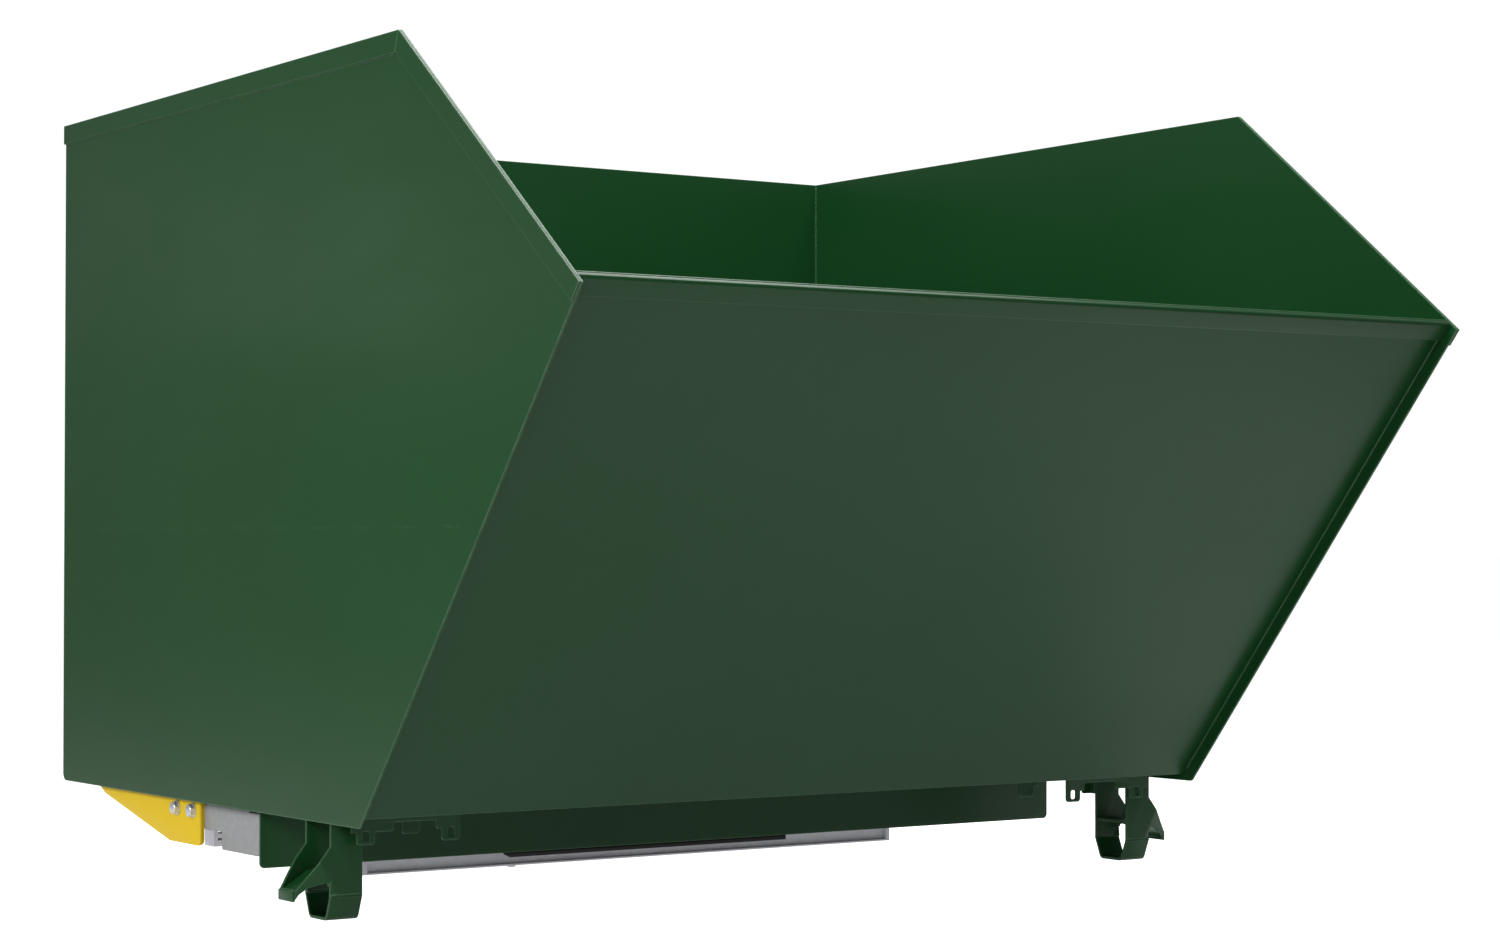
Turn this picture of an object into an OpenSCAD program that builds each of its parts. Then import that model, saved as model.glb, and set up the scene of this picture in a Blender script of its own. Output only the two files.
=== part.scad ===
// Hook-on gravity grain hopper: folded-sheet body, self-emptying funnel, outlet frame with a slide gate,
// skirt, guard plates and two hook brackets. Millimetres, +X right, +Y to the back wall, +Z up.
// The origin is the centre of the outlet frame's bolting face.

/* [Hopper body] */
// Width over the two end panels
hopper_w = 2000; // [1600:10:2600]
// Height of the back wall and the end panels' top edge above their bottom edge
wall_h = 1417; // [1180:1:1750]
// Depth of an end panel along its bottom edge
base_d = 1396; // [1160:1:1700]
// Height of the loading lip above the bottom edge
lip_h = 930; // [770:1:1120]
// How far the loading lip stands ahead of the bottom front corner
lip_reach = 768; // [600:1:930]
// How far the end panel's peak stands ahead of the bottom front corner
peak_reach = 152; // [0:1:300]
// Thickness of the body sheets
sheet_t = 4; // [3:0.5:6]
// How far the front panel lies behind the end panels' front edges
front_inset = 28; // [20:1:40]
// Corner radius at the back foot of an end panel
back_corner_r = 17; // [5:1:30]
// Corner radius at the front foot of an end panel
front_corner_r = 11; // [4:1:20]

/* [Rims and ribs] */
// Height of the flat bars round the top edges
rim_h = 40; // [30:1:60]
// Thickness of the flat bars on the end panels and the back
rim_t = 5; // [4:0.5:8]
// Thickness of the bar along the loading lip
front_rim_t = 12; // [8:1:16]
// Number of stiffening ribs down the back wall
rib_count = 3; // [2:1:5]
// Width of a rib
rib_w = 80; // [50:1:120]
// Depth of a rib
rib_d = 25; // [15:1:40]

/* [Funnel] */
// Slope of the front floor above the horizontal
front_slope = 30; // [26:1:34]
// Slope of the side floors above the horizontal
side_slope = 45; // [38:1:50]

/* [Outlet frame] */
// Width of the outlet frame
outlet_w = 1328; // [1100:1:1500]
// Distance from the front foot back to the outlet frame
outlet_setback = 640; // [560:1:720]
// How far the outlet frame stands out behind the back wall
outlet_overhang = 10; // [0:1:20]
// Drop from the end panels' bottom edge to the outlet frame's bolting face
outlet_drop = 160; // [150:1:200]
// Height of a rail
rail_h = 29; // [24:1:36]
// Depth of a rail's bottom flange
rail_d = 50; // [44:1:60]
// How far a rail's web lies behind the outer edge of its bottom flange
rail_lip = 12; // [6:1:16]
// Wall thickness of a rail
rail_t = 4; // [3:0.5:5]
// Height of the slot along a rail's inner side
rail_slot_h = 5; // [3:0.5:8]
// Height of that slot above the bolting face
rail_slot_z = 14; // [12:1:16]
// Thickness of the plates that close the rails' ends
cap_t = 10; // [8:1:14]
// Land of the pan in front of the mouth
front_land = 120; // [100:1:160]
// Thickness of the pan
pan_t = 4; // [3:0.5:6]
// Distance of the corner bolt holes from the end of the frame
bolt_inset = 44; // [30:1:60]
// Radius of a bolt hole in the frame
frame_hole_r = 7; // [5.5:0.5:9]

/* [Slide gate] */
// Width of the gate plate
gate_w = 710; // [600:1:850]
// Thickness of the gate plate
gate_t = 4; // [3:0.5:6]
// Overlap of the gate plate past each side of the mouth
gate_lap = 20; // [15:1:40]
// Gap under the gate plate
gate_gap = 1; // [0.5:0.5:2]
// Gap above the gate plate
gate_head = 2; // [1:0.5:3]
// Gap beside the gate plate
gate_side_gap = 2; // [1:0.5:4]
// How far the gate's lip stands ahead of the outlet frame
gate_nose = 34; // [20:1:60]
// Drop of the gate's lip below the plate
gate_lip_h = 11; // [6:1:20]
// Width of a gate guide
guide_w = 30; // [26:1:40]
// Thickness of the guide's ledge under the gate
ledge_t = 5; // [4:1:8]
// How far the ledge reaches under the gate
ledge_lap = 18; // [10:1:19]
// Distance of the lock screw from the gate's edge
lock_inset = 55; // [40:1:120]
// Shank radius of the lock screw
lock_r = 5; // [4:0.5:6]

/* [Skirt and end plates] */
// Height of the funnel's front floor over the back edge of the skirt's flange
skirt_clear = 27; // [22:1:34]
// Drop of the skirt below the bottom edge
skirt_drop = 112; // [90:1:118]
// Inset of the skirt and the end plates from the end panels' outer faces
skirt_inset = 24; // [22:1:30]
// Thickness of the skirt and of the end plates
skirt_t = 5; // [4:0.5:6]
// Corner radius of the skirt and of the end plates
skirt_r = 10; // [4:1:16]
// Width of the flanges and angles that join the skirt to the body
flange_w = 45; // [40:1:60]
// Length of the end plates
end_plate_l = 515; // [460:1:560]
// Drop of the front part of the end plates
end_plate_drop = 90; // [75:1:105]
// Length of the deep front part of the end plates
end_plate_front_l = 169; // [120:1:200]
// Drop of the end plates behind the notch
end_plate_back_drop = 55; // [45:1:65]

/* [Guard plates] */
// Distance from the front foot back to the guard plates
guard_setback = 713; // [680:1:740]
// Length of a guard plate
guard_l = 505; // [440:1:600]
// Drop of a guard plate below the bottom edge
guard_drop = 89; // [75:1:110]
// Length of the guard plate's straight lower edge
guard_flat = 148; // [110:1:180]
// Thickness of a guard plate
guard_t = 5; // [4:0.5:6]
// Inset of the guard plates from the end panels' outer faces
guard_inset = 13; // [11:1:14]
// Corner radius at the guard plate's lower front corner
guard_r = 12; // [6:1:20]
// Distance from the guard plate's front edge to its first bolt
guard_bolt_y = 32; // [26:1:40]
// Distance between a guard plate's two bolts
guard_bolt_gap = 77; // [60:1:100]
// Drop of the guard bolts below the bottom edge
guard_bolt_drop = 20; // [18:1:26]
// Shank radius of the guard bolts
guard_bolt_r = 8; // [6:1:8]

/* [Hook brackets] */
// Width of a hook strap
hook_w = 65; // [50:1:90]
// Thickness of the hook plates
hook_t = 6; // [5:0.5:8]
// Inset of a hook strap from the end panel's outer face
hook_inset = 9; // [6:1:16]
// Distance from the front foot back to the front hook leg
hook_setback = 130; // [120:1:150]
// Depth over the two hook legs
hook_d = 106; // [90:1:118]
// Drop of the straight part of the hook legs
leg_drop = 136; // [120:1:150]
// Drop of the foot of the strap
foot_drop = 180; // [165:1:200]
// How far each leg draws in at the foot
foot_draw = 18; // [12:1:26]
// Outer radius of the strap's bends
strap_r = 14; // [8.5:0.5:16]
// How far the nose stands out past the end panel's outer face
nose_reach = 57; // [45:1:70]
// Height of the nose's end plate
nose_h = 20; // [16:1:26]
// How far the nose's side plates turn in
nose_turn = 18; // [12:1:22]
// Height of the hook's top plate above the bottom edge
pad_h = 40; // [30:1:60]

/* [Saddle plates] */
// Distance from the front foot back to the front saddle plate
saddle_setback = 105; // [95:1:112]
// Distance between the faces of the two saddle plates
saddle_gap = 152; // [145:1:165]
// Thickness of a saddle plate
saddle_t = 5; // [4:0.5:8]
// Distance from the end panel's outer face to a saddle plate's inner end
saddle_w = 264; // [240:1:300]
// Drop of a saddle plate below the bottom edge
saddle_drop = 18; // [12:1:24]
// Drop of the lugs below the bottom edge
lug_drop = 41; // [38:1:50]
// Width of a lug
lug_w = 38; // [28:1:40]
// Width of a lug's slot
slot_w = 14; // [10:1:16]
// Height of a lug's slot from end to end
slot_h = 19; // [17:1:22]

/* [Hidden] */

$fn = 48;
GREEN = [0.13, 0.28, 0.16];
DARK_GREEN = [0.07, 0.17, 0.1];
YELLOW = [0.87, 0.73, 0.14];
GALVANISED = [0.62, 0.64, 0.64];
ZINC = [0.78, 0.79, 0.8];
BLACK = [0.09, 0.09, 0.1];

// Half-size of the blocks that trim sheets to the funnel's planes
big = 3 * hopper_w;
// Radial clearance of a bolt in its hole, and of a nut on its bolt
hole_clear = 1;
thread_clear = 0.05;

// The outlet frame and the body in one frame
outlet_d = base_d + outlet_overhang - outlet_setback;
foot_y = -outlet_setback - outlet_d / 2;
base_z = outlet_drop;
outlet_front = outlet_setback;
outlet_back = outlet_setback + outlet_d;

// Heights in the outlet frame, measured from its bolting face
gate_z = rail_h + gate_gap;
pan_z = gate_z + gate_t + gate_head;
pan_top = pan_z + pan_t;
guide_h = pan_z - rail_h;

// The mouth in the pan
mouth_w = gate_w - 2 * gate_lap;
mouth_front = outlet_front + front_land;
mouth_back = base_d - sheet_t;

// Corners of an end panel as depth and height
back_foot = [base_d, 0];
back_top = [base_d, wall_h];
peak = [-peak_reach, wall_h];
lip = [-lip_reach, lip_h];
front_foot = [0, 0];
front_dir = unit(lip - front_foot);
front_in = [front_dir[1], -front_dir[0]];
front_len = norm(lip - front_foot);

// Fasteners: shank radius, width across flats, head height and nut height
M12 = [6, 18, 7.5, 10.8];
M16 = [guard_bolt_r, 24, 10, 13];
washer_t = 3;
washer_r = 15;

// The skirt hangs as far back as the front floor leaves room for its flange
pan_level = pan_top - base_z;
skirt_setback = mouth_front - (skirt_clear - pan_level) / tan(front_slope) - flange_w;

// Bolts that hold the skirt and the end plates up to the body's angles
flange_bolt_x = skirt_inset + skirt_t + flange_w / 2;
flange_bolt_ys = [for (share = [0.17, 0.45, 0.85]) skirt_setback + share * end_plate_l];
skirt_bolt_y = skirt_setback + flange_w / 2 + skirt_t / 2;
skirt_bolts = 6;
skirt_bolt_margin = 16;
skirt_bolt_pitch = (hopper_w - 2 * (saddle_w + skirt_bolt_margin)) / (skirt_bolts - 1);

// Plates that stand on the pan
chute_t = sheet_t;
angle_w = skirt_inset + skirt_t + flange_w;
cross_h = 60;

// Hook bracket: bend line of the nose, from its upper end to its lower end, as distance and height
nose_lead = 19;
nose_tail = 3;
nose_top_drop = 68;
nose_low_drop = 106;
nose_top = [hook_inset - nose_lead, -nose_top_drop];
nose_low = [hook_inset + nose_tail, -nose_low_drop];
nose_dir = unit(nose_low - nose_top);
nose_out = [nose_dir[1], -nose_dir[0]];
hook_back = hook_setback + hook_d;
shelf_rise = 8;
shelf_z = nose_low[1] + shelf_rise;

function unit(v) = v / norm(v);
function wedge(a, b) = a[0] * b[1] - a[1] * b[0];
// Point where the line through p along d meets the line through q along e
function meet(p, d, q, e) = p + d * wedge(q - p, e) / wedge(d, e);
// One corner p between its neighbours a and b, as an arc of radius r
function arc_corner(a, p, b, r, n = 8) = r == 0 ? [p] :
    let (u = unit(a - p), w = unit(b - p), half = acos(u * w) / 2, c = p + unit(u + w) * r / sin(half),
        s = p + u * r / tan(half) - c, e = p + w * r / tan(half) - c)
    [for (i = [0:n]) c + r * unit(s * (n - i) + e * i)];
// Outline from corners given as [x, y, radius]
function outline(c) = let (n = len(c)) [for (i = [0:n - 1]) each
    arc_corner(xy_of(c[(i + n - 1) % n]), xy_of(c[i]), xy_of(c[(i + 1) % n]), c[i][2])];
function xy_of(c) = [c[0], c[1]];

// Foot origin, centred between the end panels
module body_frame() translate([0, foot_y, base_z]) children();
// Foot origin at the left end panel's outer face
module left() body_frame() translate([-hopper_w / 2, 0, 0]) children();
module right() mirror([1, 0, 0]) left() children();

// Flat shapes drawn as (y, z), (x, z) and (x, y), thickened along the third axis
module yz_plate(x, t) translate([x, 0, 0]) rotate([90, 0, 90]) linear_extrude(t) children();
module xz_plate(y, t) translate([0, y + t, 0]) rotate([90, 0, 0]) linear_extrude(t) children();
module xy_plate(z, t) translate([0, 0, z]) linear_extrude(t) children();

module hexagon(flats, h) cylinder(h = h, d = flats / cos(30), $fn = 6);
// Bolt along -Z: head on z = 0, shank of length l below it
module bolt(size, l) {
    hexagon(size[1], size[2]);
    translate([0, 0, -l]) cylinder(h = l, r = size[0]);
}
// Nut whose top face is on z = 0
module nut(size) translate([0, 0, -size[3]]) difference() {
    hexagon(size[1], size[3]);
    translate([0, 0, -1]) cylinder(h = size[3] + 2, r = size[0] + thread_clear);
}

// ---- Body sheets ----

module end_panel() yz_plate(0, sheet_t) polygon(outline([
    [back_foot[0], back_foot[1], back_corner_r], [back_top[0], back_top[1], 0],
    [peak[0], peak[1], 0], [lip[0], lip[1], 0], [front_foot[0], front_foot[1], front_corner_r]]));
module left_end_panel() color(GREEN) left() end_panel();
module right_end_panel() color(GREEN) right() end_panel();

// Point at distance s up the front edge and depth o behind it
function on_front(s, o) = front_foot + front_dir * s + front_in * o;
front_low = -6;
module front_panel() color(GREEN) body_frame()
    yz_plate(-hopper_w / 2 + sheet_t, hopper_w - 2 * sheet_t) polygon([
        on_front(front_low, front_inset), on_front(front_len, front_inset),
        on_front(front_len, front_inset + sheet_t), on_front(front_low, front_inset + sheet_t)]);

module back_panel() color(GREEN) body_frame()
    translate([-hopper_w / 2 + sheet_t, base_d - sheet_t, 0]) cube([hopper_w - 2 * sheet_t, sheet_t, wall_h]);

// ---- Rims and ribs ----

slope_dir = unit(peak - lip);
slope_in = [slope_dir[1], -slope_dir[0]];
mitre = meet(peak - [0, rim_h], [1, 0], lip + slope_in * rim_h, slope_dir);
lip_end = meet(front_foot, front_dir, lip + slope_in * rim_h, slope_dir);

module top_rim() yz_plate(-rim_t, rim_t) polygon([back_top, peak, mitre, back_top - [0, rim_h]]);
module left_top_rim() color(GREEN) left() top_rim();
module right_top_rim() color(GREEN) right() top_rim();

module slope_rim() yz_plate(-rim_t, rim_t) polygon([peak, lip, lip_end, mitre]);
module left_slope_rim() color(GREEN) left() slope_rim();
module right_slope_rim() color(GREEN) right() slope_rim();

front_rim_r = front_rim_t / 2;
function on_rim(s, o, r) = concat(on_front(s, o), r);
module front_rim() color(GREEN) body_frame()
    yz_plate(-hopper_w / 2 + sheet_t, hopper_w - 2 * sheet_t) polygon(outline([
        on_rim(front_len - rim_h, front_inset, 0), on_rim(front_len, front_inset, 0),
        on_rim(front_len, front_inset - front_rim_t, front_rim_r),
        on_rim(front_len - rim_h, front_inset - front_rim_t, 0)]));

module back_rim() color(GREEN) body_frame()
    translate([-hopper_w / 2, base_d, wall_h - rim_h]) cube([hopper_w, rim_t, rim_h]);

// Top-hat ribs, pressed from sheet, closed by the back wall
rib_sheet = 3;
module rib_outline(inset, foot) polygon([[-rib_w / 2 + 2 * inset, -foot], [-rib_w / 2 + 2 * inset, 0],
    [-rib_w / 4 + inset, rib_d - inset], [rib_w / 4 - inset, rib_d - inset],
    [rib_w / 2 - 2 * inset, 0], [rib_w / 2 - 2 * inset, -foot]]);
module back_ribs() color(GREEN) body_frame() for (i = [1:rib_count])
    translate([hopper_w * (i / (rib_count + 1) - 0.5), base_d, back_corner_r])
        linear_extrude(wall_h - rim_h - back_corner_r) difference() {
            rib_outline(0, 0);
            rib_outline(rib_sheet, 1);
        }

// ---- Funnel ----

// The floors' top faces are planes through the mouth's edges: children are laid in them, top at z = 0
module on_front_plane() translate([0, mouth_front, pan_level]) rotate([-front_slope, 0, 0]) children();
module on_side_plane() translate([-mouth_w / 2, 0, pan_level]) rotate([0, side_slope, 0]) children();
// Block above a floor's underside
module above_sheet() translate([-big, -big, -sheet_t]) cube([2 * big, 2 * big, big]);
// Everything above the undersides of the three floors
module floor_space() intersection() {
    on_front_plane() above_sheet();
    on_side_plane() above_sheet();
    mirror([1, 0, 0]) on_side_plane() above_sheet();
}

// The space inside the body's four walls, down to the pan
module inside_walls() yz_plate(-hopper_w / 2 + sheet_t, hopper_w - 2 * sheet_t) polygon([
    [mouth_back, pan_level], [mouth_back, wall_h],
    on_front(front_len, front_inset + sheet_t), on_front(front_low, front_inset + sheet_t),
    [on_front(front_low, front_inset + sheet_t)[0], pan_level]]);

// In plan, the valley where a side floor meets the front floor runs out from the mouth's corner
valley_run = tan(side_slope) / tan(front_slope);
valley_x = hopper_w / 2;
module front_floor() color(GREEN) body_frame() intersection() {
    inside_walls();
    on_front_plane() translate([-big, -big, -sheet_t]) cube([2 * big, big + sheet_t, sheet_t]);
    xy_plate(-big, 2 * big) polygon([
        [-mouth_w / 2, mouth_front], [mouth_w / 2, mouth_front],
        [mouth_w / 2 + valley_x, mouth_front - valley_x * valley_run],
        [-mouth_w / 2 - valley_x, mouth_front - valley_x * valley_run]]);
}

module side_floor() intersection() {
    inside_walls();
    on_side_plane() translate([-big, -big, -sheet_t]) cube([big + sheet_t, 2 * big, sheet_t]);
    xy_plate(-big, 2 * big) polygon([[-mouth_w / 2, mouth_front],
        [-mouth_w / 2 - valley_x, mouth_front - valley_x * valley_run],
        [-mouth_w / 2 - valley_x, base_d], [-mouth_w / 2, base_d]]);
}
module left_floor() color(GREEN) body_frame() side_floor();
module right_floor() color(GREEN) mirror([1, 0, 0]) body_frame() side_floor();

// Upright plates that carry the floors on the pan
module front_chute_plate() color(GREEN) body_frame() difference() {
    translate([-outlet_w / 2, outlet_front, pan_level]) cube([outlet_w, chute_t, wall_h]);
    floor_space();
}
module back_chute_plate() color(GREEN) body_frame()
    translate([-outlet_w / 2, base_d - chute_t, pan_level]) cube([outlet_w, chute_t, -pan_level]);
module side_chute_plate() difference() {
    translate([-outlet_w / 2, outlet_front + chute_t, pan_level])
        cube([chute_t, base_d - 2 * chute_t - outlet_front, wall_h]);
    floor_space();
}
module left_chute_plate() color(GREEN) body_frame() side_chute_plate();
module right_chute_plate() color(GREEN) mirror([1, 0, 0]) body_frame() side_chute_plate();

// ---- Angles under the body ----

angle_front = saddle_setback + 2 * saddle_t + saddle_gap;
module flange_holes(drop) for (y = flange_bolt_ys) translate([flange_bolt_x, y, -drop])
    cylinder(h = 2 * drop, r = M12[0] + hole_clear);
base_angle_l = base_d - sheet_t - angle_front;
module base_angle() difference() {
    translate([sheet_t, angle_front, 0]) {
        cube([angle_w - sheet_t, base_angle_l, sheet_t]);
        cube([sheet_t, base_angle_l, flange_w]);
    }
    flange_holes(20);
}
module left_base_angle() color(GREEN) left() base_angle();
module right_base_angle() color(GREEN) right() base_angle();

// Centres of the bolts along the skirt
function skirt_bolt_xs() = [for (i = [0:skirt_bolts - 1]) (i - (skirt_bolts - 1) / 2) * skirt_bolt_pitch];
module skirt_holes(drop) for (x = skirt_bolt_xs()) translate([x, skirt_bolt_y, -drop])
    cylinder(h = 2 * drop, r = M12[0] + hole_clear);
cross_w = hopper_w - 2 * angle_w;
module front_cross_angle() color(GREEN) body_frame() difference() {
    union() {
        translate([-cross_w / 2, skirt_setback, 0]) cube([cross_w, flange_w, sheet_t]);
        translate([-cross_w / 2, skirt_setback, 0]) cube([cross_w, sheet_t, cross_h]);
    }
    skirt_holes(20);
    floor_space();
}

// ---- Saddle plates with slotted lugs ----

saddle_inset = 38;
lug_inset = 11;
lug_xs = [saddle_inset + lug_inset + lug_w / 2, saddle_w - lug_w / 2];
step_x = [125, 214];
step_z = -2;
// Upright slot with rounded corners, centred on the origin
slot_r = 4;
module slot_shape() {
    square([slot_w, slot_h - 2 * slot_r], center = true);
    square([slot_w - 2 * slot_r, slot_h], center = true);
    for (x = [-1, 1], y = [-1, 1]) translate([x * (slot_w / 2 - slot_r), y * (slot_h / 2 - slot_r)])
        circle(r = slot_r);
}
slot_z = -lug_drop + 6 + slot_h / 2;
// Only the front saddles' lugs are slotted
module saddle(y, slotted) difference() {
    xz_plate(y, saddle_t) difference() {
        polygon(outline([
            [saddle_inset, -saddle_drop, 0], [lug_xs[0] - lug_w / 2, -saddle_drop, 0],
            [lug_xs[0] - lug_w / 2, -lug_drop, 6], [lug_xs[0] + lug_w / 2, -lug_drop, 6],
            [lug_xs[0] + lug_w / 2, -saddle_drop, 0], [step_x[0], -saddle_drop, 5], [step_x[0], step_z, 0],
            [step_x[1], step_z, 0], [step_x[1], -saddle_drop, 5], [lug_xs[1] - lug_w / 2, -saddle_drop, 0],
            [lug_xs[1] - lug_w / 2, -lug_drop, 6], [lug_xs[1] + lug_w / 2, -lug_drop, 6],
            [saddle_w, wall_h, 0], [saddle_inset, wall_h, 0]]));
        if (slotted) for (x = lug_xs) translate([x, slot_z]) slot_shape();
    }
    translate([hopper_w / 2, 0, 0]) floor_space();
}
rear_saddle_y = saddle_setback + saddle_t + saddle_gap;
module left_front_saddle() color(GREEN) left() saddle(saddle_setback, true);
module right_front_saddle() color(GREEN) right() saddle(saddle_setback, true);
module left_rear_saddle() color(GREEN) left() saddle(rear_saddle_y, false);
module right_rear_saddle() color(GREEN) right() saddle(rear_saddle_y, false);

// ---- Hook brackets ----

// Strap seen from the side, inset by i and open at height top: leg, drawn-in foot and level bottom
foot_dir = unit([foot_draw, leg_drop - foot_drop]);
foot_in = [-foot_dir[1], foot_dir[0]];
function strap_side(i, top) =
    let (a = hook_setback, b = hook_back, r = strap_r - i,
        bend = meet([i, 0], [0, 1], [0, -leg_drop] + foot_in * i, foot_dir),
        foot = meet([0, -foot_drop + i], [1, 0], [0, -leg_drop] + foot_in * i, foot_dir))
    outline([[a + i, top, 0], [a + bend[0], bend[1], r], [a + foot[0], foot[1], r],
        [b - foot[0], foot[1], r], [b - bend[0], bend[1], r], [b - i, top, 0]]);
module strap_ring() difference() {
    polygon(strap_side(0, pad_h));
    polygon(strap_side(hook_t, pad_h + 1));
}
// Outline of the strap seen from the front; the nose leaves the leg on a slope of this height
nose_rise = 25;
module strap_front() polygon([
    [hook_inset, pad_h], [hook_inset, nose_top[1] + nose_rise], nose_top, nose_low,
    [hook_inset, nose_low[1] - 1], [hook_inset, -foot_drop], [hook_inset + hook_w, -foot_drop],
    [hook_inset + hook_w, pad_h]]);

// Nose plate as it lies before it is turned about the bend line; points are stretched across that line
tip_x = -nose_reach + hook_t;
tip_drop = 122;
tip_top = [tip_x, -tip_drop];
tip_low = [tip_x, -tip_drop - nose_h];
// Underside of the nose plate: a step behind the tip plate, then a rise to the bend line
step_in = 6;
step_drop = tip_drop + 7;
rise_in = 21;
rise_drop = 117;
function unfold(p) = let (d = (p - nose_top) * nose_out) p + nose_out * d * (1 / cos(nose_turn) - 1);
nose_points = [nose_top, unfold(tip_top), unfold(tip_low), unfold([tip_x + step_in, -step_drop]),
    unfold([tip_x + rise_in, -rise_drop]), nose_low];
// Turned plate from the leg's outer face inward (t > 0) or outward (t < 0) along y
module turned(y, side) translate([nose_top[0], y, nose_top[1]])
    rotate(a = side * nose_turn, v = [nose_dir[0], 0, nose_dir[1]]) translate([-nose_top[0], 0, -nose_top[1]])
        children();
module nose_front() turned(hook_setback + hook_t, 1) xz_plate(-hook_t, hook_t) polygon(nose_points);
module nose_back() turned(hook_back - hook_t, -1) xz_plate(0, hook_t) polygon(nose_points);

module hook_strap() {
    intersection() {
        yz_plate(-nose_reach, nose_reach + hook_inset + hook_w) strap_ring();
        xz_plate(hook_setback, hook_d) strap_front();
    }
    // The nose plates end flush behind the tip plate
    intersection() {
        union() {
            nose_front();
            nose_back();
        }
        translate([tip_x, 0, -big]) cube([big, big, big]);
    }
}
module left_hook_strap() color(GREEN) left() hook_strap();
module right_hook_strap() color(GREEN) right() hook_strap();

// Everything outside the two nose plates' inner faces
module beyond_nose() {
    turned(hook_setback + hook_t, 1) translate([-big, -hook_d, -big]) cube([2 * big, hook_d, 2 * big]);
    turned(hook_back - hook_t, -1) translate([-big, 0, -big]) cube([2 * big, hook_d, 2 * big]);
}
// Floor plate between the nose plates, level between the legs and sloping down to the tip
module hook_floor() difference() {
    xz_plate(hook_setback + hook_t, hook_d - 2 * hook_t) polygon([
        [hook_inset + hook_w, shelf_z], [hook_inset + hook_w, shelf_z + hook_t],
        [nose_low[0], shelf_z + hook_t],
        [tip_x, tip_low[1] + 3 * hook_t], [tip_x, tip_low[1] + 2 * hook_t], [nose_low[0], shelf_z]]);
    intersection() {
        beyond_nose();
        translate([-big, 0, -big]) cube([big + nose_low[0], big, 2 * big]);
    }
}
module left_hook_floor() color(GREEN) left() hook_floor();
module right_hook_floor() color(GREEN) right() hook_floor();

// The tip plate reaches the outer faces of the two nose plates
tip_lead = (tip_low - nose_top) * nose_out;
tip_half = hook_d / 2 - hook_t - tip_lead * tan(nose_turn) + hook_t / cos(nose_turn);
module hook_tip() translate([-nose_reach, hook_setback + hook_d / 2 - tip_half, tip_low[1]])
    cube([hook_t, 2 * tip_half, nose_h]);
module left_hook_tip() color(GREEN) left() hook_tip();
module right_hook_tip() color(GREEN) right() hook_tip();

module hook_pad() translate([sheet_t, saddle_setback + saddle_t, pad_h])
    cube([hook_inset + 2 * hook_w - sheet_t, saddle_gap, hook_t]);
module left_hook_pad() color(GREEN) left() hook_pad();
module right_hook_pad() color(GREEN) right() hook_pad();

// The gusset's lower edge rises to the saddle plate, clear of the lug's slot
gusset_drop = 40;
gusset_foot = 12;
module hook_gusset() yz_plate(hook_inset + hook_w - hook_t, hook_t) polygon([
    [hook_back, pad_h], [hook_back, -gusset_drop], [hook_back + gusset_foot, -gusset_drop],
    [rear_saddle_y, 0], [rear_saddle_y, pad_h]]);
module left_hook_gusset() color(GREEN) left() hook_gusset();
module right_hook_gusset() color(GREEN) right() hook_gusset();

// ---- Skirt and end plates ----

skirt_w = hopper_w - 2 * skirt_inset;
module front_skirt() color(DARK_GREEN) body_frame() difference() {
    union() {
        xz_plate(skirt_setback, skirt_t) polygon(outline([
            [-skirt_w / 2, 0, 0], [-skirt_w / 2, -skirt_drop, skirt_r],
            [skirt_w / 2, -skirt_drop, skirt_r], [skirt_w / 2, 0, 0]]));
        translate([-skirt_w / 2 + skirt_t, skirt_setback, -skirt_t])
            cube([skirt_w - 2 * skirt_t, flange_w, skirt_t]);
    }
    skirt_holes(20);
}

end_plate_y = skirt_setback + skirt_t;
module end_plate() difference() {
    union() {
        yz_plate(skirt_inset, skirt_t) polygon(outline([
            [end_plate_y, 0, skirt_r], [end_plate_y, -end_plate_drop, skirt_r],
            [end_plate_y + end_plate_front_l, -end_plate_drop, 4],
            [end_plate_y + end_plate_front_l, -end_plate_back_drop, 0],
            [end_plate_y + end_plate_l, -end_plate_back_drop, skirt_r], [end_plate_y + end_plate_l, 0, 0]]));
        translate([skirt_inset, skirt_setback + flange_w, -skirt_t])
            cube([angle_w - skirt_inset, end_plate_l + skirt_t - flange_w, skirt_t]);
    }
    flange_holes(20);
    guard_holes();
}
module left_end_plate() color(GALVANISED) left() end_plate();
module right_end_plate() color(GALVANISED) right() end_plate();

// ---- Guard plates ----

guard_bolt_ys = [guard_setback + guard_bolt_y, guard_setback + guard_bolt_y + guard_bolt_gap];
module guard_holes() for (y = guard_bolt_ys) translate([0, y, -guard_bolt_drop]) rotate([0, 90, 0])
    cylinder(h = 2 * skirt_inset, r = M16[0] + hole_clear);
guard_back = guard_setback + guard_l;
module guard_shape() polygon(outline([
    [guard_setback, 0, 0], [guard_setback, -guard_drop, guard_r],
    [guard_setback + guard_flat, -guard_drop, 25],
    [guard_back - 21, -15, 12], [guard_back, -4, 0], [guard_back, 0, 0]]));
module guard_plate() difference() {
    yz_plate(guard_inset, guard_t) guard_shape();
    guard_holes();
}
module left_guard_plate() color(YELLOW) left() guard_plate();
module right_guard_plate() color(YELLOW) right() guard_plate();

backing_l = end_plate_y + end_plate_l - guard_setback;
module guard_backing() difference() {
    yz_plate(guard_inset + guard_t, skirt_inset - guard_inset - guard_t) intersection() {
        guard_shape();
        translate([guard_setback + 2, -guard_drop + 1]) square([backing_l, guard_drop]);
    }
    guard_holes();
}
module left_guard_backing() color(YELLOW) left() guard_backing();
module right_guard_backing() color(YELLOW) right() guard_backing();

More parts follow.
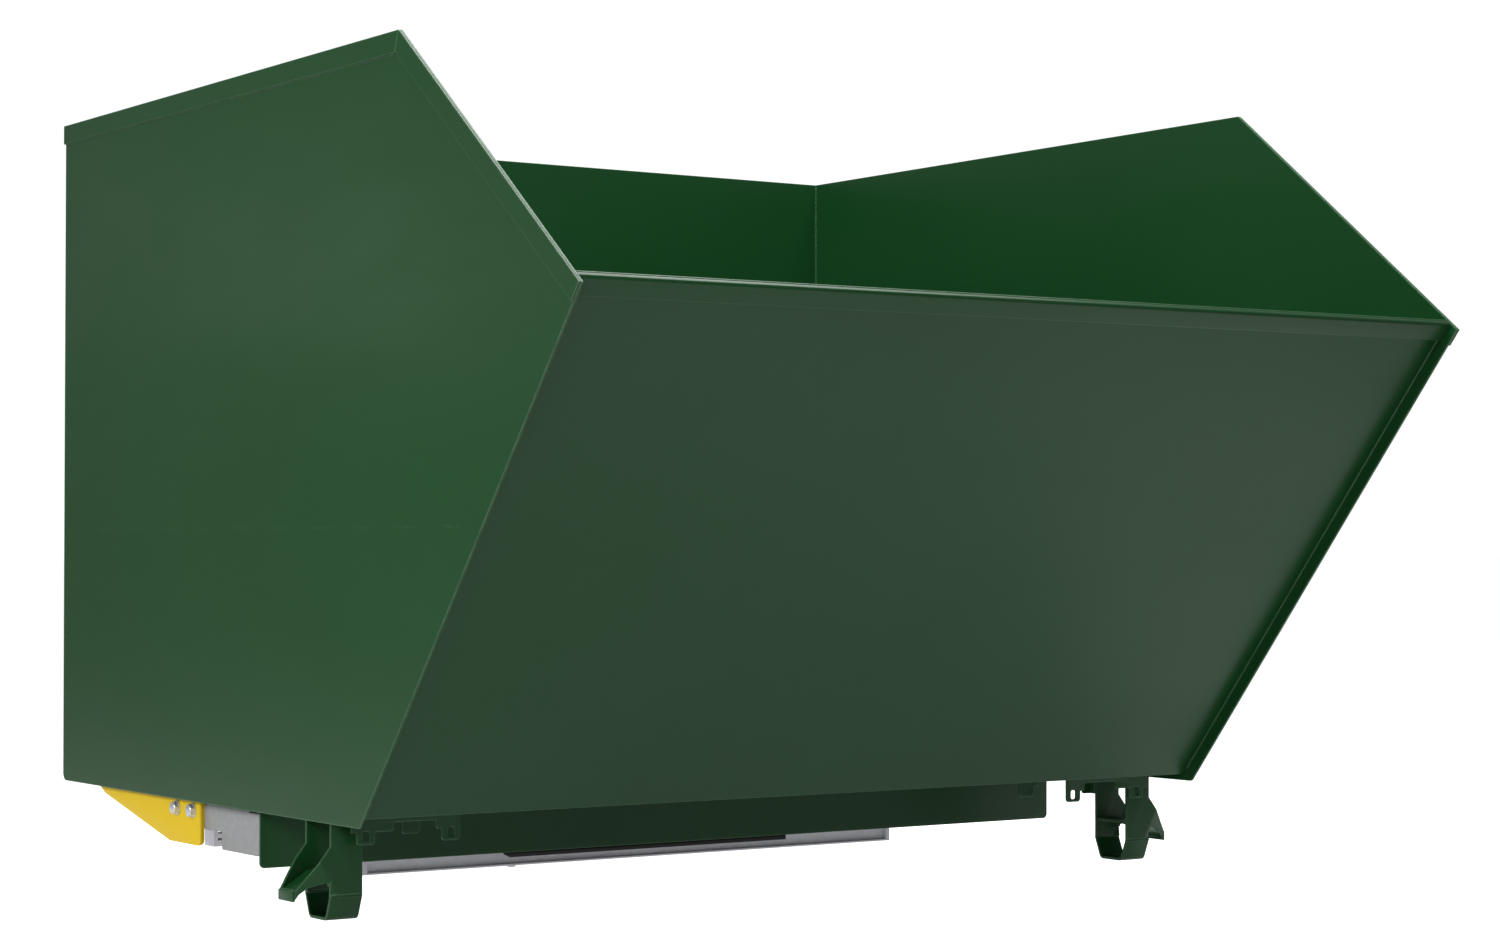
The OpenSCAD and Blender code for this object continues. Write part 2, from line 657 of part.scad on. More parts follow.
// Places children with their head side at the guard plate's outer face, looking outwards along +Z
module at_guard_bolts(x) for (y = guard_bolt_ys) translate([x, y, -guard_bolt_drop])
    rotate([0, -90, 0]) children();
module both_sides() {
    left() children();
    right() children();
}
guard_grip = skirt_inset + skirt_t - guard_inset;
module guard_bolts() color(ZINC) both_sides() at_guard_bolts(guard_inset - washer_t)
    bolt(M16, washer_t + guard_grip + M16[3] + 4);
module guard_washers() color(ZINC) both_sides() at_guard_bolts(guard_inset) difference() {
    cylinder(h = washer_t, r = washer_r);
    translate([0, 0, -1]) cylinder(h = washer_t + 2, r = M16[0] + thread_clear);
}
module guard_nuts() color(ZINC) both_sides() at_guard_bolts(skirt_inset + skirt_t) nut(M16);

// ---- Bolts between the angles, the skirt and the end plates ----

module at_base_bolts(z) {
    both_sides() for (y = flange_bolt_ys) translate([flange_bolt_x, y, z]) children();
    body_frame() for (x = skirt_bolt_xs()) translate([x, skirt_bolt_y, z]) children();
}
module base_bolts() color(ZINC) at_base_bolts(sheet_t) bolt(M12, sheet_t + skirt_t + M12[3] + 3);
module base_nuts() color(ZINC) at_base_bolts(-skirt_t) nut(M12);

// ---- Outlet frame, from its bolting face up ----

// Origin at the frame's centre in plan, z = 0 on the bolting face
frame_hole_y = outlet_d / 2 - (rail_lip + rail_d + rail_t) / 2;
frame_hole_x = outlet_w / 2 - bolt_inset;
lock_x = -gate_w / 2 + lock_inset;

// Rail seen from its end: folded channel with a slot along its inner side, and an outer lip at the bottom
top_flange_z = rail_h - rail_t;
module rail_section() translate([-outlet_d / 2, 0]) difference() {
    polygon([[0, 0], [rail_d, 0], [rail_d, rail_h], [rail_lip, rail_h], [rail_lip, rail_t], [0, rail_t]]);
    translate([rail_lip + rail_t, rail_t]) square([rail_d - rail_lip - 2 * rail_t, top_flange_z - rail_t]);
    translate([rail_d - rail_t - 1, rail_slot_z]) square([rail_t + 2, rail_slot_h]);
}
module front_rail_blank() difference() {
    yz_plate(-outlet_w / 2 + cap_t, outlet_w - 2 * cap_t) rail_section();
    for (x = [-frame_hole_x, 0, frame_hole_x]) translate([x, -frame_hole_y, -1])
        cylinder(h = rail_t + 2, r = frame_hole_r);
    clamp_holes(top_flange_z - 2);
}
module outlet_front_rail() color(GALVANISED) difference() {
    front_rail_blank();
    translate([lock_x, -frame_hole_y, -1]) cylinder(h = rail_h + 2, r = lock_r + thread_clear);
}
module outlet_rear_rail() color(GALVANISED) mirror([0, 1, 0]) front_rail_blank();
// Plates that close the rails' ends and carry the pan's corners
module rail_caps() for (y = [-outlet_d / 2, outlet_d / 2 - rail_d])
    translate([-outlet_w / 2, y, 0]) cube([cap_t, rail_d, pan_z]);
module left_rail_caps() color(GALVANISED) rail_caps();
module right_rail_caps() color(GALVANISED) mirror([1, 0, 0]) rail_caps();

module outlet_pan() color(GALVANISED) difference() {
    xy_plate(pan_z, pan_t) difference() {
        square([outlet_w, outlet_d], center = true);
        translate([-mouth_w / 2, foot_y + mouth_front]) square([mouth_w, mouth_back - mouth_front]);
    }
    clamp_holes(pan_z - 1);
}

// ---- Gate guides and their bolts ----

guide_x = gate_w / 2 + gate_side_gap + guide_w / 2;
module at_clamp_bolts(z) for (x = [-guide_x, guide_x], y = [-frame_hole_y, frame_hole_y])
    translate([x, y, z]) children();
module clamp_holes(z) at_clamp_bolts(z) cylinder(h = 20, r = M12[0] + hole_clear);
module gate_guide() difference() {
    union() {
        translate([-guide_x - guide_w / 2, -outlet_d / 2 + rail_lip, rail_h])
            cube([guide_w, outlet_d - 2 * rail_lip, guide_h]);
        translate([-guide_x - guide_w / 2, -outlet_d / 2 + rail_d, rail_h - ledge_t])
            cube([guide_w + gate_side_gap + ledge_lap, outlet_d - 2 * rail_d, ledge_t]);
    }
    clamp_holes(rail_h - 1);
}
module left_gate_guide() color(GALVANISED) gate_guide();
module right_gate_guide() color(GALVANISED) mirror([1, 0, 0]) gate_guide();

module frame_bolts() color(ZINC) at_clamp_bolts(pan_top) bolt(M12, pan_top - top_flange_z + M12[3] + 2);
module frame_nuts() color(ZINC) at_clamp_bolts(top_flange_z) nut(M12);

// ---- Slide gate and its lock screw ----

gate_front = -outlet_d / 2 - gate_nose;
gate_back = outlet_d / 2 - outlet_overhang + gate_t;
// Corner cut from the lip's left end
lip_cut = [14, 6];
module slide_gate() color(BLACK) union() {
    translate([-gate_w / 2, gate_front, gate_z]) cube([gate_w, gate_back - gate_front, gate_t]);
    xz_plate(gate_front, gate_t) polygon([
        [-gate_w / 2, gate_z + gate_t], [-gate_w / 2, gate_z - gate_lip_h + lip_cut[1]],
        [-gate_w / 2 + lip_cut[0], gate_z - gate_lip_h], [gate_w / 2, gate_z - gate_lip_h],
        [gate_w / 2, gate_z + gate_t]]);
}

// The screw's tip stands just under the gate plate; its head is under the front rail
lock_head_h = 6;
lock_flats = 17;
module gate_lock_screw() color(ZINC) translate([lock_x, -frame_hole_y, 0]) {
    translate([0, 0, -lock_head_h - 0.3]) hexagon(lock_flats, lock_head_h);
    translate([0, 0, -1]) cylinder(h = gate_z + 0.7, r = lock_r);
}

left_end_panel();
right_end_panel();
front_panel();
back_panel();
left_top_rim();
right_top_rim();
left_slope_rim();
right_slope_rim();
front_rim();
back_rim();
back_ribs();
front_floor();
left_floor();
right_floor();
front_chute_plate();
back_chute_plate();
left_chute_plate();
right_chute_plate();
left_base_angle();
right_base_angle();
front_cross_angle();
left_front_saddle();
left_rear_saddle();
right_front_saddle();
right_rear_saddle();
left_hook_strap();
right_hook_strap();
left_hook_floor();
right_hook_floor();
left_hook_tip();
right_hook_tip();
left_hook_pad();
right_hook_pad();
left_hook_gusset();
right_hook_gusset();
front_skirt();
left_end_plate();
right_end_plate();
left_guard_plate();
right_guard_plate();
left_guard_backing();
right_guard_backing();
guard_bolts();
guard_washers();
guard_nuts();
base_bolts();
base_nuts();
outlet_pan();
outlet_front_rail();
outlet_rear_rail();
left_rail_caps();
right_rail_caps();
left_gate_guide();
right_gate_guide();
frame_bolts();
frame_nuts();
slide_gate();
gate_lock_screw();
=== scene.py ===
import math

import bmesh
import bpy
import numpy as np
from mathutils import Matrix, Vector
from mathutils.geometry import tessellate_polygon


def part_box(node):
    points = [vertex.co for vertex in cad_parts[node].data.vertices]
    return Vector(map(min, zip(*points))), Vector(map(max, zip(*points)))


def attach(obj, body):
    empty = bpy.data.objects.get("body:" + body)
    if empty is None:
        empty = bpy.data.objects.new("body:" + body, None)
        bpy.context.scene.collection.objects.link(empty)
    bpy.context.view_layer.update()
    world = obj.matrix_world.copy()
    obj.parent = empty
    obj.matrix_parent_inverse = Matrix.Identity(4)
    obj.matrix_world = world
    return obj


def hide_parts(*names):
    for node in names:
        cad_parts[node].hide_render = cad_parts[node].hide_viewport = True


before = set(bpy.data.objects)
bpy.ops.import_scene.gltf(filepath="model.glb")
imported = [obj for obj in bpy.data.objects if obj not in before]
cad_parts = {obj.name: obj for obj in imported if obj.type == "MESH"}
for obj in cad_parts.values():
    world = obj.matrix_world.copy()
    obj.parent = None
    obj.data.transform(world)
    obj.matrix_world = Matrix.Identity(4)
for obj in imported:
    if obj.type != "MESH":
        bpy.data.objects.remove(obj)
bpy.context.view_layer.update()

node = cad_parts
panel_low, panel_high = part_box("left_end_panel")


# ---- Camera, floor and studio light ----
# The hopper stands on its two hook straps on a white studio floor that glows faintly under it. Soft lamps
# hang to the left, behind on the left and overhead; the studio's walls are white and far away.

eye = (panel_low.x - 2.566, panel_low.y - 4.2515, panel_low.z + 0.515)
camera_data = bpy.data.cameras.new("camera")
camera_data.sensor_width = 36.0
camera_data.lens = 74.74
camera_data.clip_end = 400.0
camera = bpy.data.objects.new("camera", camera_data)
camera.location = eye
camera.rotation_euler = (math.radians(91.209), 0.0, math.radians(-34.217))
bpy.context.scene.collection.objects.link(camera)
bpy.context.scene.camera = camera
bpy.context.scene.view_settings.view_transform = "Standard"

floor_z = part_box("left_hook_strap")[0].z - 0.0005
floor_half = 120.0
floor_mesh = bpy.data.meshes.new("floor")
floor_mesh.from_pydata(
    [(-floor_half, -floor_half, floor_z), (floor_half, -floor_half, floor_z),
     (floor_half, floor_half, floor_z), (-floor_half, floor_half, floor_z)], [], [(0, 1, 2, 3)])
floor = bpy.data.objects.new("floor", floor_mesh)
bpy.context.scene.collection.objects.link(floor)
floor_paint = bpy.data.materials.new("white_floor")
floor_paint.use_nodes = True
floor_tree = floor_paint.node_tree
floor_light_r = (1.4, 3.2)
floor_light = (0.5, 0.03)
floor_shader = floor_tree.nodes["Principled BSDF"]
floor_shader.inputs["Base Color"].default_value = (0.5, 0.5, 0.5, 1)
floor_shader.inputs["Roughness"].default_value = 0.8
floor_shader.inputs["Specular IOR Level"].default_value = 0.0
floor_shader.inputs["Emission Color"].default_value = (1, 1, 1, 1)
seen = floor_tree.nodes.new("ShaderNodeLightPath")
glow = floor_tree.nodes.new("ShaderNodeMath")
glow.operation = "MULTIPLY_ADD"
glow.inputs[1].default_value = 0.85
spot = floor_tree.nodes.new("ShaderNodeNewGeometry")
away = floor_tree.nodes.new("ShaderNodeVectorMath")
away.operation = "DISTANCE"
away.inputs[1].default_value = (0.0, -0.7, floor_z)
floor_tree.links.new(spot.outputs["Position"], away.inputs[0])
fade = floor_tree.nodes.new("ShaderNodeMapRange")
for number, value in enumerate(floor_light_r + floor_light, 1):
    fade.inputs[number].default_value = value
floor_tree.links.new(away.outputs["Value"], fade.inputs[0])
floor_tree.links.new(fade.outputs[0], glow.inputs[2])
floor_tree.links.new(seen.outputs["Is Camera Ray"], glow.inputs[0])
floor_tree.links.new(glow.outputs[0], floor_shader.inputs["Emission Strength"])
floor_mesh.materials.append(floor_paint)

world = bpy.data.worlds.new("studio")
world.use_nodes = True
sky = world.node_tree
looked_at = sky.nodes.new("ShaderNodeLightPath")
level = sky.nodes.new("ShaderNodeMapRange")
level.inputs[3].default_value = 0.25
level.inputs[4].default_value = 1.05
sky.links.new(looked_at.outputs["Is Camera Ray"], level.inputs[0])
sky.links.new(level.outputs[0], sky.nodes["Background"].inputs["Strength"])
sky.nodes["Background"].inputs["Color"].default_value = (1.0, 1.0, 1.0, 1)
bpy.context.scene.world = world


def soft_lamp(name, place, aim, width, height, watts):
    """Rectangular lamp at place, facing aim, hidden from the camera."""
    data = bpy.data.lights.new(name, "AREA")
    data.shape = "RECTANGLE"
    data.size = width
    data.size_y = height
    data.energy = watts
    lamp = bpy.data.objects.new(name, data)
    lamp.location = place
    lamp.rotation_euler = (Vector(aim) - Vector(place)).to_track_quat("-Z", "Y").to_euler()
    lamp.visible_camera = False
    bpy.context.scene.collection.objects.link(lamp)


middle = (0.0, -0.4, 0.7)
soft_lamp("key_lamp", (-6.6, -2.8, 3.2), middle, 3.0, 2.0, 350)
soft_lamp("left_strip", (-5.4, 4.6, 1.9), (-1.0, -0.5, 0.9), 4.0, 0.5, 6)
soft_lamp("top_lamp", (0.4, -1.0, 5.2), middle, 4.0, 4.0, 370)


# ---- Green powder coat ----
# All the green pieces are sheet steel, blasted and powder coated in a satin dark green. Sharp edges are
# painted lighter, partly as film rubbed thin and partly as a painted highlight where light catches them,
# and the sheets are never quite flat.

def add_group(name, inputs, outputs):
    """New shader node group with float inputs {name: default} and outputs {name: socket type}."""
    group = bpy.data.node_groups.new(name, "ShaderNodeTree")
    for label, default in inputs.items():
        socket = group.interface.new_socket(name=label, in_out="INPUT", socket_type="NodeSocketFloat")
        socket.default_value = default
    for label, kind in outputs.items():
        group.interface.new_socket(name=label, in_out="OUTPUT", socket_type=kind)
    return group, group.nodes.new("NodeGroupInput"), group.nodes.new("NodeGroupOutput")


def put(tree, kind, settings=None, **inputs):
    """New node with its settings and inputs; i0, i1 and so on name inputs by number."""
    made = tree.nodes.new(kind)
    for label, value in (settings or {}).items():
        setattr(made, label, value)
    for label, value in inputs.items():
        numbered = label[0] == "i" and label[1:].isdigit()
        socket = made.inputs[int(label[1:]) if numbered else label]
        if isinstance(value, bpy.types.NodeSocket):
            tree.links.new(value, socket)
        else:
            socket.default_value = value
    return made


def edge_wear_and_highlight_group():
    """Mask that is 1 on sharp edges: how far a rounded normal turns from the face's own, broken by noise.
    It marks rubbed paint and a painted edge highlight.
    """
    group, entry, leave = add_group(
        "edge_wear_and_highlight", {"Width": 0.002, "Amount": 1.0}, {"Mask": "NodeSocketFloat"})
    rounded = put(group, "ShaderNodeBevel", {"samples": 6}, Radius=entry.outputs["Width"])
    geometry = put(group, "ShaderNodeNewGeometry")
    cosine = put(group, "ShaderNodeVectorMath", {"operation": "DOT_PRODUCT"},
                 i0=rounded.outputs[0], i1=geometry.outputs["Normal"])
    turn = put(group, "ShaderNodeMapRange", i0=cosine.outputs["Value"], i1=0.995, i2=0.85, i3=0.0, i4=1.0)
    place = put(group, "ShaderNodeTexCoord")
    chips = put(group, "ShaderNodeTexNoise", Vector=place.outputs["Object"], Scale=30.0, Detail=3.0)
    broken = put(group, "ShaderNodeMapRange", i0=chips.outputs["Fac"], i1=0.3, i2=0.6, i3=0.5, i4=1.0)
    both = put(group, "ShaderNodeMath", {"operation": "MULTIPLY"}, i0=turn.outputs[0], i1=broken.outputs[0])
    scaled = put(group, "ShaderNodeMath", {"operation": "MULTIPLY"}, i0=both.outputs[0],
                 i1=entry.outputs["Amount"])
    group.links.new(scaled.outputs[0], leave.inputs["Mask"])
    return group


def settled_dust_group():
    """Mask of fine dust: strongest on faces that look up, in soft patches and specks."""
    group, entry, leave = add_group("settled_dust", {"Amount": 0.3}, {"Mask": "NodeSocketFloat"})
    geometry = put(group, "ShaderNodeNewGeometry")
    parts = put(group, "ShaderNodeSeparateXYZ", Vector=geometry.outputs["Normal"])
    upward = put(group, "ShaderNodeMapRange", i0=parts.outputs["Z"], i1=0.0, i2=1.0, i3=0.05, i4=1.0)
    place = put(group, "ShaderNodeTexCoord")
    patches = put(group, "ShaderNodeTexNoise", Vector=place.outputs["Object"], Scale=2.2, Detail=6.0,
                  Roughness=0.65)
    soft = put(group, "ShaderNodeMapRange", i0=patches.outputs["Fac"], i1=0.38, i2=0.75, i3=0.0, i4=1.0)
    both = put(group, "ShaderNodeMath", {"operation": "MULTIPLY"}, i0=upward.outputs[0], i1=soft.outputs[0])
    scaled = put(group, "ShaderNodeMath", {"operation": "MULTIPLY"}, i0=both.outputs[0],
                 i1=entry.outputs["Amount"])
    group.links.new(scaled.outputs[0], leave.inputs["Mask"])
    return group


def paint_film_group():
    """Height of a sprayed film on rolled sheet: fine orange peel over a long, shallow wave; and its gloss."""
    group, entry, leave = add_group(
        "paint_film", {"Peel": 0.3, "Wave": 0.6}, {"Height": "NodeSocketFloat", "Gloss": "NodeSocketFloat"})
    place = put(group, "ShaderNodeTexCoord")
    peel = put(group, "ShaderNodeTexNoise", Vector=place.outputs["Object"], Scale=420.0, Detail=2.0)
    long_way = put(group, "ShaderNodeMapping", Vector=place.outputs["Object"], Scale=(0.5, 0.5, 1.6))
    long_wave = put(group, "ShaderNodeTexNoise", Vector=long_way.outputs[0], Scale=1.3, Detail=1.0)
    fine = put(group, "ShaderNodeMath", {"operation": "MULTIPLY"}, i0=peel.outputs["Fac"],
               i1=entry.outputs["Peel"])
    long_part = put(group, "ShaderNodeMath", {"operation": "MULTIPLY"}, i0=long_wave.outputs["Fac"],
                    i1=entry.outputs["Wave"])
    total = put(group, "ShaderNodeMath", {"operation": "ADD"}, i0=fine.outputs[0], i1=long_part.outputs[0])
    group.links.new(total.outputs[0], leave.inputs["Height"])
    streaks = put(group, "ShaderNodeTexNoise", Vector=long_way.outputs[0], Scale=2.6, Detail=4.0)
    group.links.new(streaks.outputs["Fac"], leave.inputs["Gloss"])
    return group


edge_wear_and_highlight = edge_wear_and_highlight_group()
settled_dust = settled_dust_group()
paint_film = paint_film_group()


def painted(name, colour, worn_edge_and_highlight, roughness, dust, wear_and_highlight=0.6, peel=0.15, wave=18.0, index=1.4):
    """Satin powder coat: one colour, lighter along edges as rubbed paint and a painted highlight, dusty where
    it faces up.
    """
    material = bpy.data.materials.new(name)
    material.use_nodes = True
    tree = material.node_tree
    shader = tree.nodes["Principled BSDF"]
    shader.inputs["IOR"].default_value = index
    edges = put(tree, "ShaderNodeGroup", {"node_tree": edge_wear_and_highlight}, Width=0.0035, Amount=wear_and_highlight)
    dirt = put(tree, "ShaderNodeGroup", {"node_tree": settled_dust}, Amount=dust)
    film = put(tree, "ShaderNodeGroup", {"node_tree": paint_film}, Peel=peel, Wave=wave)
    place = put(tree, "ShaderNodeTexCoord")
    cloud = put(tree, "ShaderNodeTexNoise", Vector=place.outputs["Object"], Scale=1.6, Detail=4.0)
    tone = put(tree, "ShaderNodeMix", {"data_type": "RGBA"}, i0=cloud.outputs["Fac"],
               i6=(*[c * 0.9 for c in colour], 1), i7=(*[c * 1.12 for c in colour], 1))
    # Edges mixed to a lighter colour: paint rubbed thin plus a painted highlight where light catches the
    # edge.
    edged = put(tree, "ShaderNodeMix", {"data_type": "RGBA"}, i0=edges.outputs["Mask"],
                i6=tone.outputs[2], i7=(*worn_edge_and_highlight, 1))
    dusty = put(tree, "ShaderNodeMix", {"data_type": "RGBA"}, i0=dirt.outputs["Mask"],
                i6=edged.outputs[2], i7=(0.16, 0.15, 0.12, 1))
    tree.links.new(dusty.outputs[2], shader.inputs["Base Color"])
    gloss = put(tree, "ShaderNodeMapRange", i0=film.outputs["Gloss"], i1=0.3, i2=0.7,
                i3=roughness - 0.05, i4=roughness + 0.06)
    rough = put(tree, "ShaderNodeMath", {"operation": "ADD"}, i0=gloss.outputs[0], i1=dirt.outputs["Mask"])
    tree.links.new(rough.outputs[0], shader.inputs["Roughness"])
    bump = put(tree, "ShaderNodeBump", Strength=0.3, Distance=0.001, Height=film.outputs["Height"])
    tree.links.new(bump.outputs[0], shader.inputs["Normal"])
    return material


green_paint = painted("green_paint", (0.0055, 0.048, 0.0115), (0.15, 0.29, 0.17), 0.33, 0.02, index=1.33)


# ---- Body sheets, rims, floors and angles ----
# Laser-cut plates and flat bars, welded together. Their cut edges are dressed to a small radius before
# painting.

def dress(names, material, radius):
    """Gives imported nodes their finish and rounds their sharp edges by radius."""
    for name in names:
        part = node[name]
        part.data.materials.clear()
        part.data.materials.append(material)
        weld = part.modifiers.new("weld", "WELD")
        weld.merge_threshold = 0.00002
        edge = part.modifiers.new("edge", "BEVEL")
        edge.width = radius
        edge.segments = 3
        edge.limit_method = "ANGLE"
        edge.angle_limit = math.radians(35)
        edge.harden_normals = True


dress(["left_end_panel", "right_end_panel", "front_panel", "back_panel", "left_top_rim", "right_top_rim",
       "left_slope_rim", "right_slope_rim", "back_rim", "front_floor", "left_floor", "right_floor",
       "front_chute_plate", "back_chute_plate", "left_chute_plate", "right_chute_plate",
       "left_base_angle", "right_base_angle", "front_cross_angle"], green_paint, 0.0014)


# ---- Loading lip ----
# A solid bar welded along the top of the front panel, with its upper outer edge rolled round so that a
# loader bucket slides over it.

def unit(vectors):
    """Vectors of length one."""
    return vectors / np.linalg.norm(vectors, axis=-1, keepdims=True)


def outline(corners, steps=6):
    """Closed outline from corners (u, v, radius): each corner is an arc that touches its two sides."""
    table = np.array(corners, float)
    here = table[:, :2]
    radius = np.maximum(table[:, 2:], 0.0003)
    before = unit(np.roll(here, 1, 0) - here)
    after = unit(np.roll(here, -1, 0) - here)
    half = np.arccos(np.clip((before * after).sum(1, keepdims=True), -1, 1)) / 2
    centre = here + unit(before + after) * radius / np.sin(half)
    start = here + before * radius / np.tan(half) - centre
    end = here + after * radius / np.tan(half) - centre
    share = np.linspace(0, 1, steps + 1)[None, :, None]
    spoke = unit(start[:, None] * (1 - share) + end[:, None] * share)
    return (centre[:, None] + spoke * radius[:, None]).reshape(-1, 2)


def signed_area(loop):
    """Area inside a closed loop, positive when it runs anticlockwise."""
    following = np.roll(loop, -1, 0)
    return 0.5 * np.sum(loop[:, 0] * following[:, 1] - loop[:, 1] * following[:, 0])


def slab(loops, depth, edge, origin, u_axis, v_axis, steps=3):
    """Plate: every loop (outline first, then holes) is carried along a quarter round, a straight wall and a
    quarter round, and the two faces are filled. It grows from origin along u x v. Gives points, faces and
    which faces are curved."""
    turn = np.linspace(0, math.pi / 2, steps + 1)
    inset = np.concatenate([edge * (1 - np.sin(turn)), edge * (1 - np.cos(turn))])
    height = np.concatenate([edge * (1 - np.cos(turn)), depth - edge * (1 - np.sin(turn))])
    rows = len(height)
    points, faces, low_loops, high_loops, start = [], [], [], [], 0
    for index, loop in enumerate(loops):
        if (signed_area(loop) > 0) != (index == 0):
            loop = loop[::-1]
        count = len(loop)
        side = unit(np.roll(loop, -1, 0) - loop)
        outward = np.stack([side[:, 1], -side[:, 0]], 1)
        behind = np.roll(outward, 1, 0)
        mitre = (outward + behind) / (1 + (outward * behind).sum(1, keepdims=True))
        flat = loop[None] - mitre[None] * inset[:, None, None]
        ring = np.concatenate([flat, np.broadcast_to(height[:, None, None], (rows, count, 1))], 2)
        points.append(ring.reshape(-1, 3))
        row, column = np.meshgrid(np.arange(rows - 1), np.arange(count), indexing="ij")
        onward = (column + 1) % count
        quads = start + np.stack([row * count + column, row * count + onward,
                                  (row + 1) * count + onward, (row + 1) * count + column], -1)
        faces += quads.reshape(-1, 4).tolist()
        low_loops.append((start, flat[0]))
        high_loops.append((start + (rows - 1) * count, flat[-1]))
        start += rows * count
    curved = [True] * len(faces)
    for group, up in ((low_loops, False), (high_loops, True)):
        places = np.concatenate([np.arange(first, first + len(flat)) for first, flat in group])
        spots = np.concatenate([flat for _, flat in group])
        filled = tessellate_polygon([[Vector((*spot, 0.0)) for spot in flat] for _, flat in group])
        for corner in filled:
            upward = signed_area(spots[list(corner)]) > 0
            chosen = corner if upward == up else corner[::-1]
            faces.append(places[list(chosen)].tolist())
            curved.append(False)
    axes = np.array([u_axis, v_axis, np.cross(u_axis, v_axis)], float)
    return np.concatenate(points) @ axes + np.array(origin, float), faces, curved


def mirrored(shape):
    """The same shape on the other side of the hopper."""
    points, faces, curved = shape
    return points * (-1, 1, 1), [face[::-1] for face in faces], curved


def joined(shapes):
    """Several shapes as one."""
    points, faces, curved, start = [], [], [], 0
    for some_points, some_faces, some_curved in shapes:
        points.append(some_points)
        faces += [[start + corner for corner in face] for face in some_faces]
        curved += list(some_curved)
        start += len(some_points)
    return np.concatenate(points), faces, curved


def make(name, shape, material, slot, body, *stands_for):
    """Mesh object from a shape, with its finish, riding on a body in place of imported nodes."""
    points, faces, curved = shape
    mesh = bpy.data.meshes.new(name)
    mesh.from_pydata(points.tolist(), [], faces)
    mesh.polygons.foreach_set("use_smooth", curved)
    mesh.update()
    mesh.set_sharp_from_angle(angle=math.radians(38))
    mesh.materials.append(material)
    piece = bpy.data.objects.new(name, mesh)
    bpy.context.scene.collection.objects.link(piece)
    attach(piece, body)
    if stands_for:
        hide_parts(*stands_for)
    return piece


def make_pair(name, shape, material, slot, stands_for):
    """A fixed piece on the left and its mirror image on the right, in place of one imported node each."""
    make(f"left_{name}", shape, material, slot, "hopper", f"left_{stands_for}")
    make(f"right_{name}", mirrored(shape), material, slot, "hopper", f"right_{stands_for}")


X, Y, Z = (1, 0, 0), (0, 1, 0), (0, 0, 1)
back_y = panel_high.y
base_z = panel_low.z
foot_y = back_y - 1.396
half_w = -panel_low.x
sheet = 0.004

front_run = 0.768
front_climb = 0.930
front_len = math.hypot(front_run, front_climb)
front_dir = np.array([-front_run, front_climb]) / front_len
front_in = np.array([front_dir[1], -front_dir[0]])


def on_front(along, behind):
    """Depth and height of a point at a distance up the front edge and behind it."""
    return np.array([foot_y, base_z]) + front_dir * along + front_in * behind


lip_h = 0.040
lip_t = 0.012
lip_inset = 0.028
lip_corners = [(front_len - lip_h, lip_inset, 0.001), (front_len, lip_inset, 0.002),
               (front_len, lip_inset - lip_t, 0.006), (front_len - lip_h, lip_inset - lip_t, 0.002)]
lip_outline = outline([(*on_front(along, behind), radius) for along, behind, radius in lip_corners])
make("loading_lip", slab([lip_outline], 2 * (half_w - sheet), 0.001, (-half_w + sheet, 0, 0), Y, Z),
     green_paint, "green_paint", "hopper", "front_rim")


# ---- Back ribs ----
# Top-hat channels pressed from 3 mm sheet and welded down the back wall against bulging.

rib_low, rib_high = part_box("back_ribs")
rib_w = 0.080
rib_d = rib_high.y - rib_low.y
rib_sheet = 0.003
rib_count = 3
rib_corners = [(-rib_w / 2, 0, 0.0005), (-rib_w / 4, rib_d, 0.006), (rib_w / 4, rib_d, 0.006),
               (rib_w / 2, 0, 0.0005), (rib_w / 2 - 2 * rib_sheet, 0, 0.0005),
               (rib_w / 4 - rib_sheet, rib_d - rib_sheet, 0.003),
               (-rib_w / 4 + rib_sheet, rib_d - rib_sheet, 0.003),
               (-rib_w / 2 + 2 * rib_sheet, 0, 0.0005)]
rib_xs = [half_w * (2 * (index + 1) / (rib_count + 1) - 1) for index in range(rib_count)]
make("pressed_ribs", joined([
    slab([outline(rib_corners)], rib_high.z - rib_low.z, 0.0006, (x, rib_low.y, rib_low.z), X, Y)
    for x in rib_xs]), green_paint, "green_paint", "hopper", "back_ribs")


# ---- Weld seams ----
# Fillet beads laid by hand inside the body, where floors and walls meet, and on the ribs and rims. Each
# bead has the ripple of its stitches and is painted over.

def bead(start, end, radius):
    """Tube from start to end whose radius ripples along it and closes to a small disc at both ends."""
    start, end = np.array(start, float), np.array(end, float)
    length = np.linalg.norm(end - start)
    ahead = (end - start) / length
    aside = unit(np.cross(ahead, (0.31, 0.47, 0.83)))
    above = np.cross(ahead, aside)
    rows = max(int(length / (radius * 0.75)), 8)
    sides = 8
    along = np.linspace(0, length, rows)
    wave = 1 + 0.13 * np.sin(along / radius * 2.1) + 0.05 * np.sin(along * 37.0)
    closing = np.sqrt(np.clip(np.minimum(along, length - along) / (1.5 * radius), 0.0004, 1))
    around = np.linspace(0, 2 * math.pi, sides, endpoint=False)
    spoke = np.cos(around)[:, None] * aside + np.sin(around)[:, None] * above
    points = start + along[:, None, None] * ahead + spoke[None] * (radius * wave * closing)[:, None, None]
    row, column = np.meshgrid(np.arange(rows - 1), np.arange(sides), indexing="ij")
    onward = (column + 1) % sides
    quads = np.stack([row * sides + column, row * sides + onward, (row + 1) * sides + onward,
                      (row + 1) * sides + column], -1).reshape(-1, 4).tolist()
    ends = [list(range(sides))[::-1], list(range((rows - 1) * sides, rows * sides))]
    return points.reshape(-1, 3), quads + ends, [True] * len(quads) + [False, False]


mouth_half = 0.335
mouth_y = foot_y + 0.760
pan_top = 0.040
front_rise = math.tan(math.radians(30))
side_rise = 1.0
wall_x = half_w - sheet
wall_back = back_y - sheet


def valley(x):
    """Point of the valley between the left floor and the front floor at x."""
    run = (abs(x) - mouth_half) * side_rise / front_rise
    return x, mouth_y - run, pan_top + (abs(x) - mouth_half) * side_rise


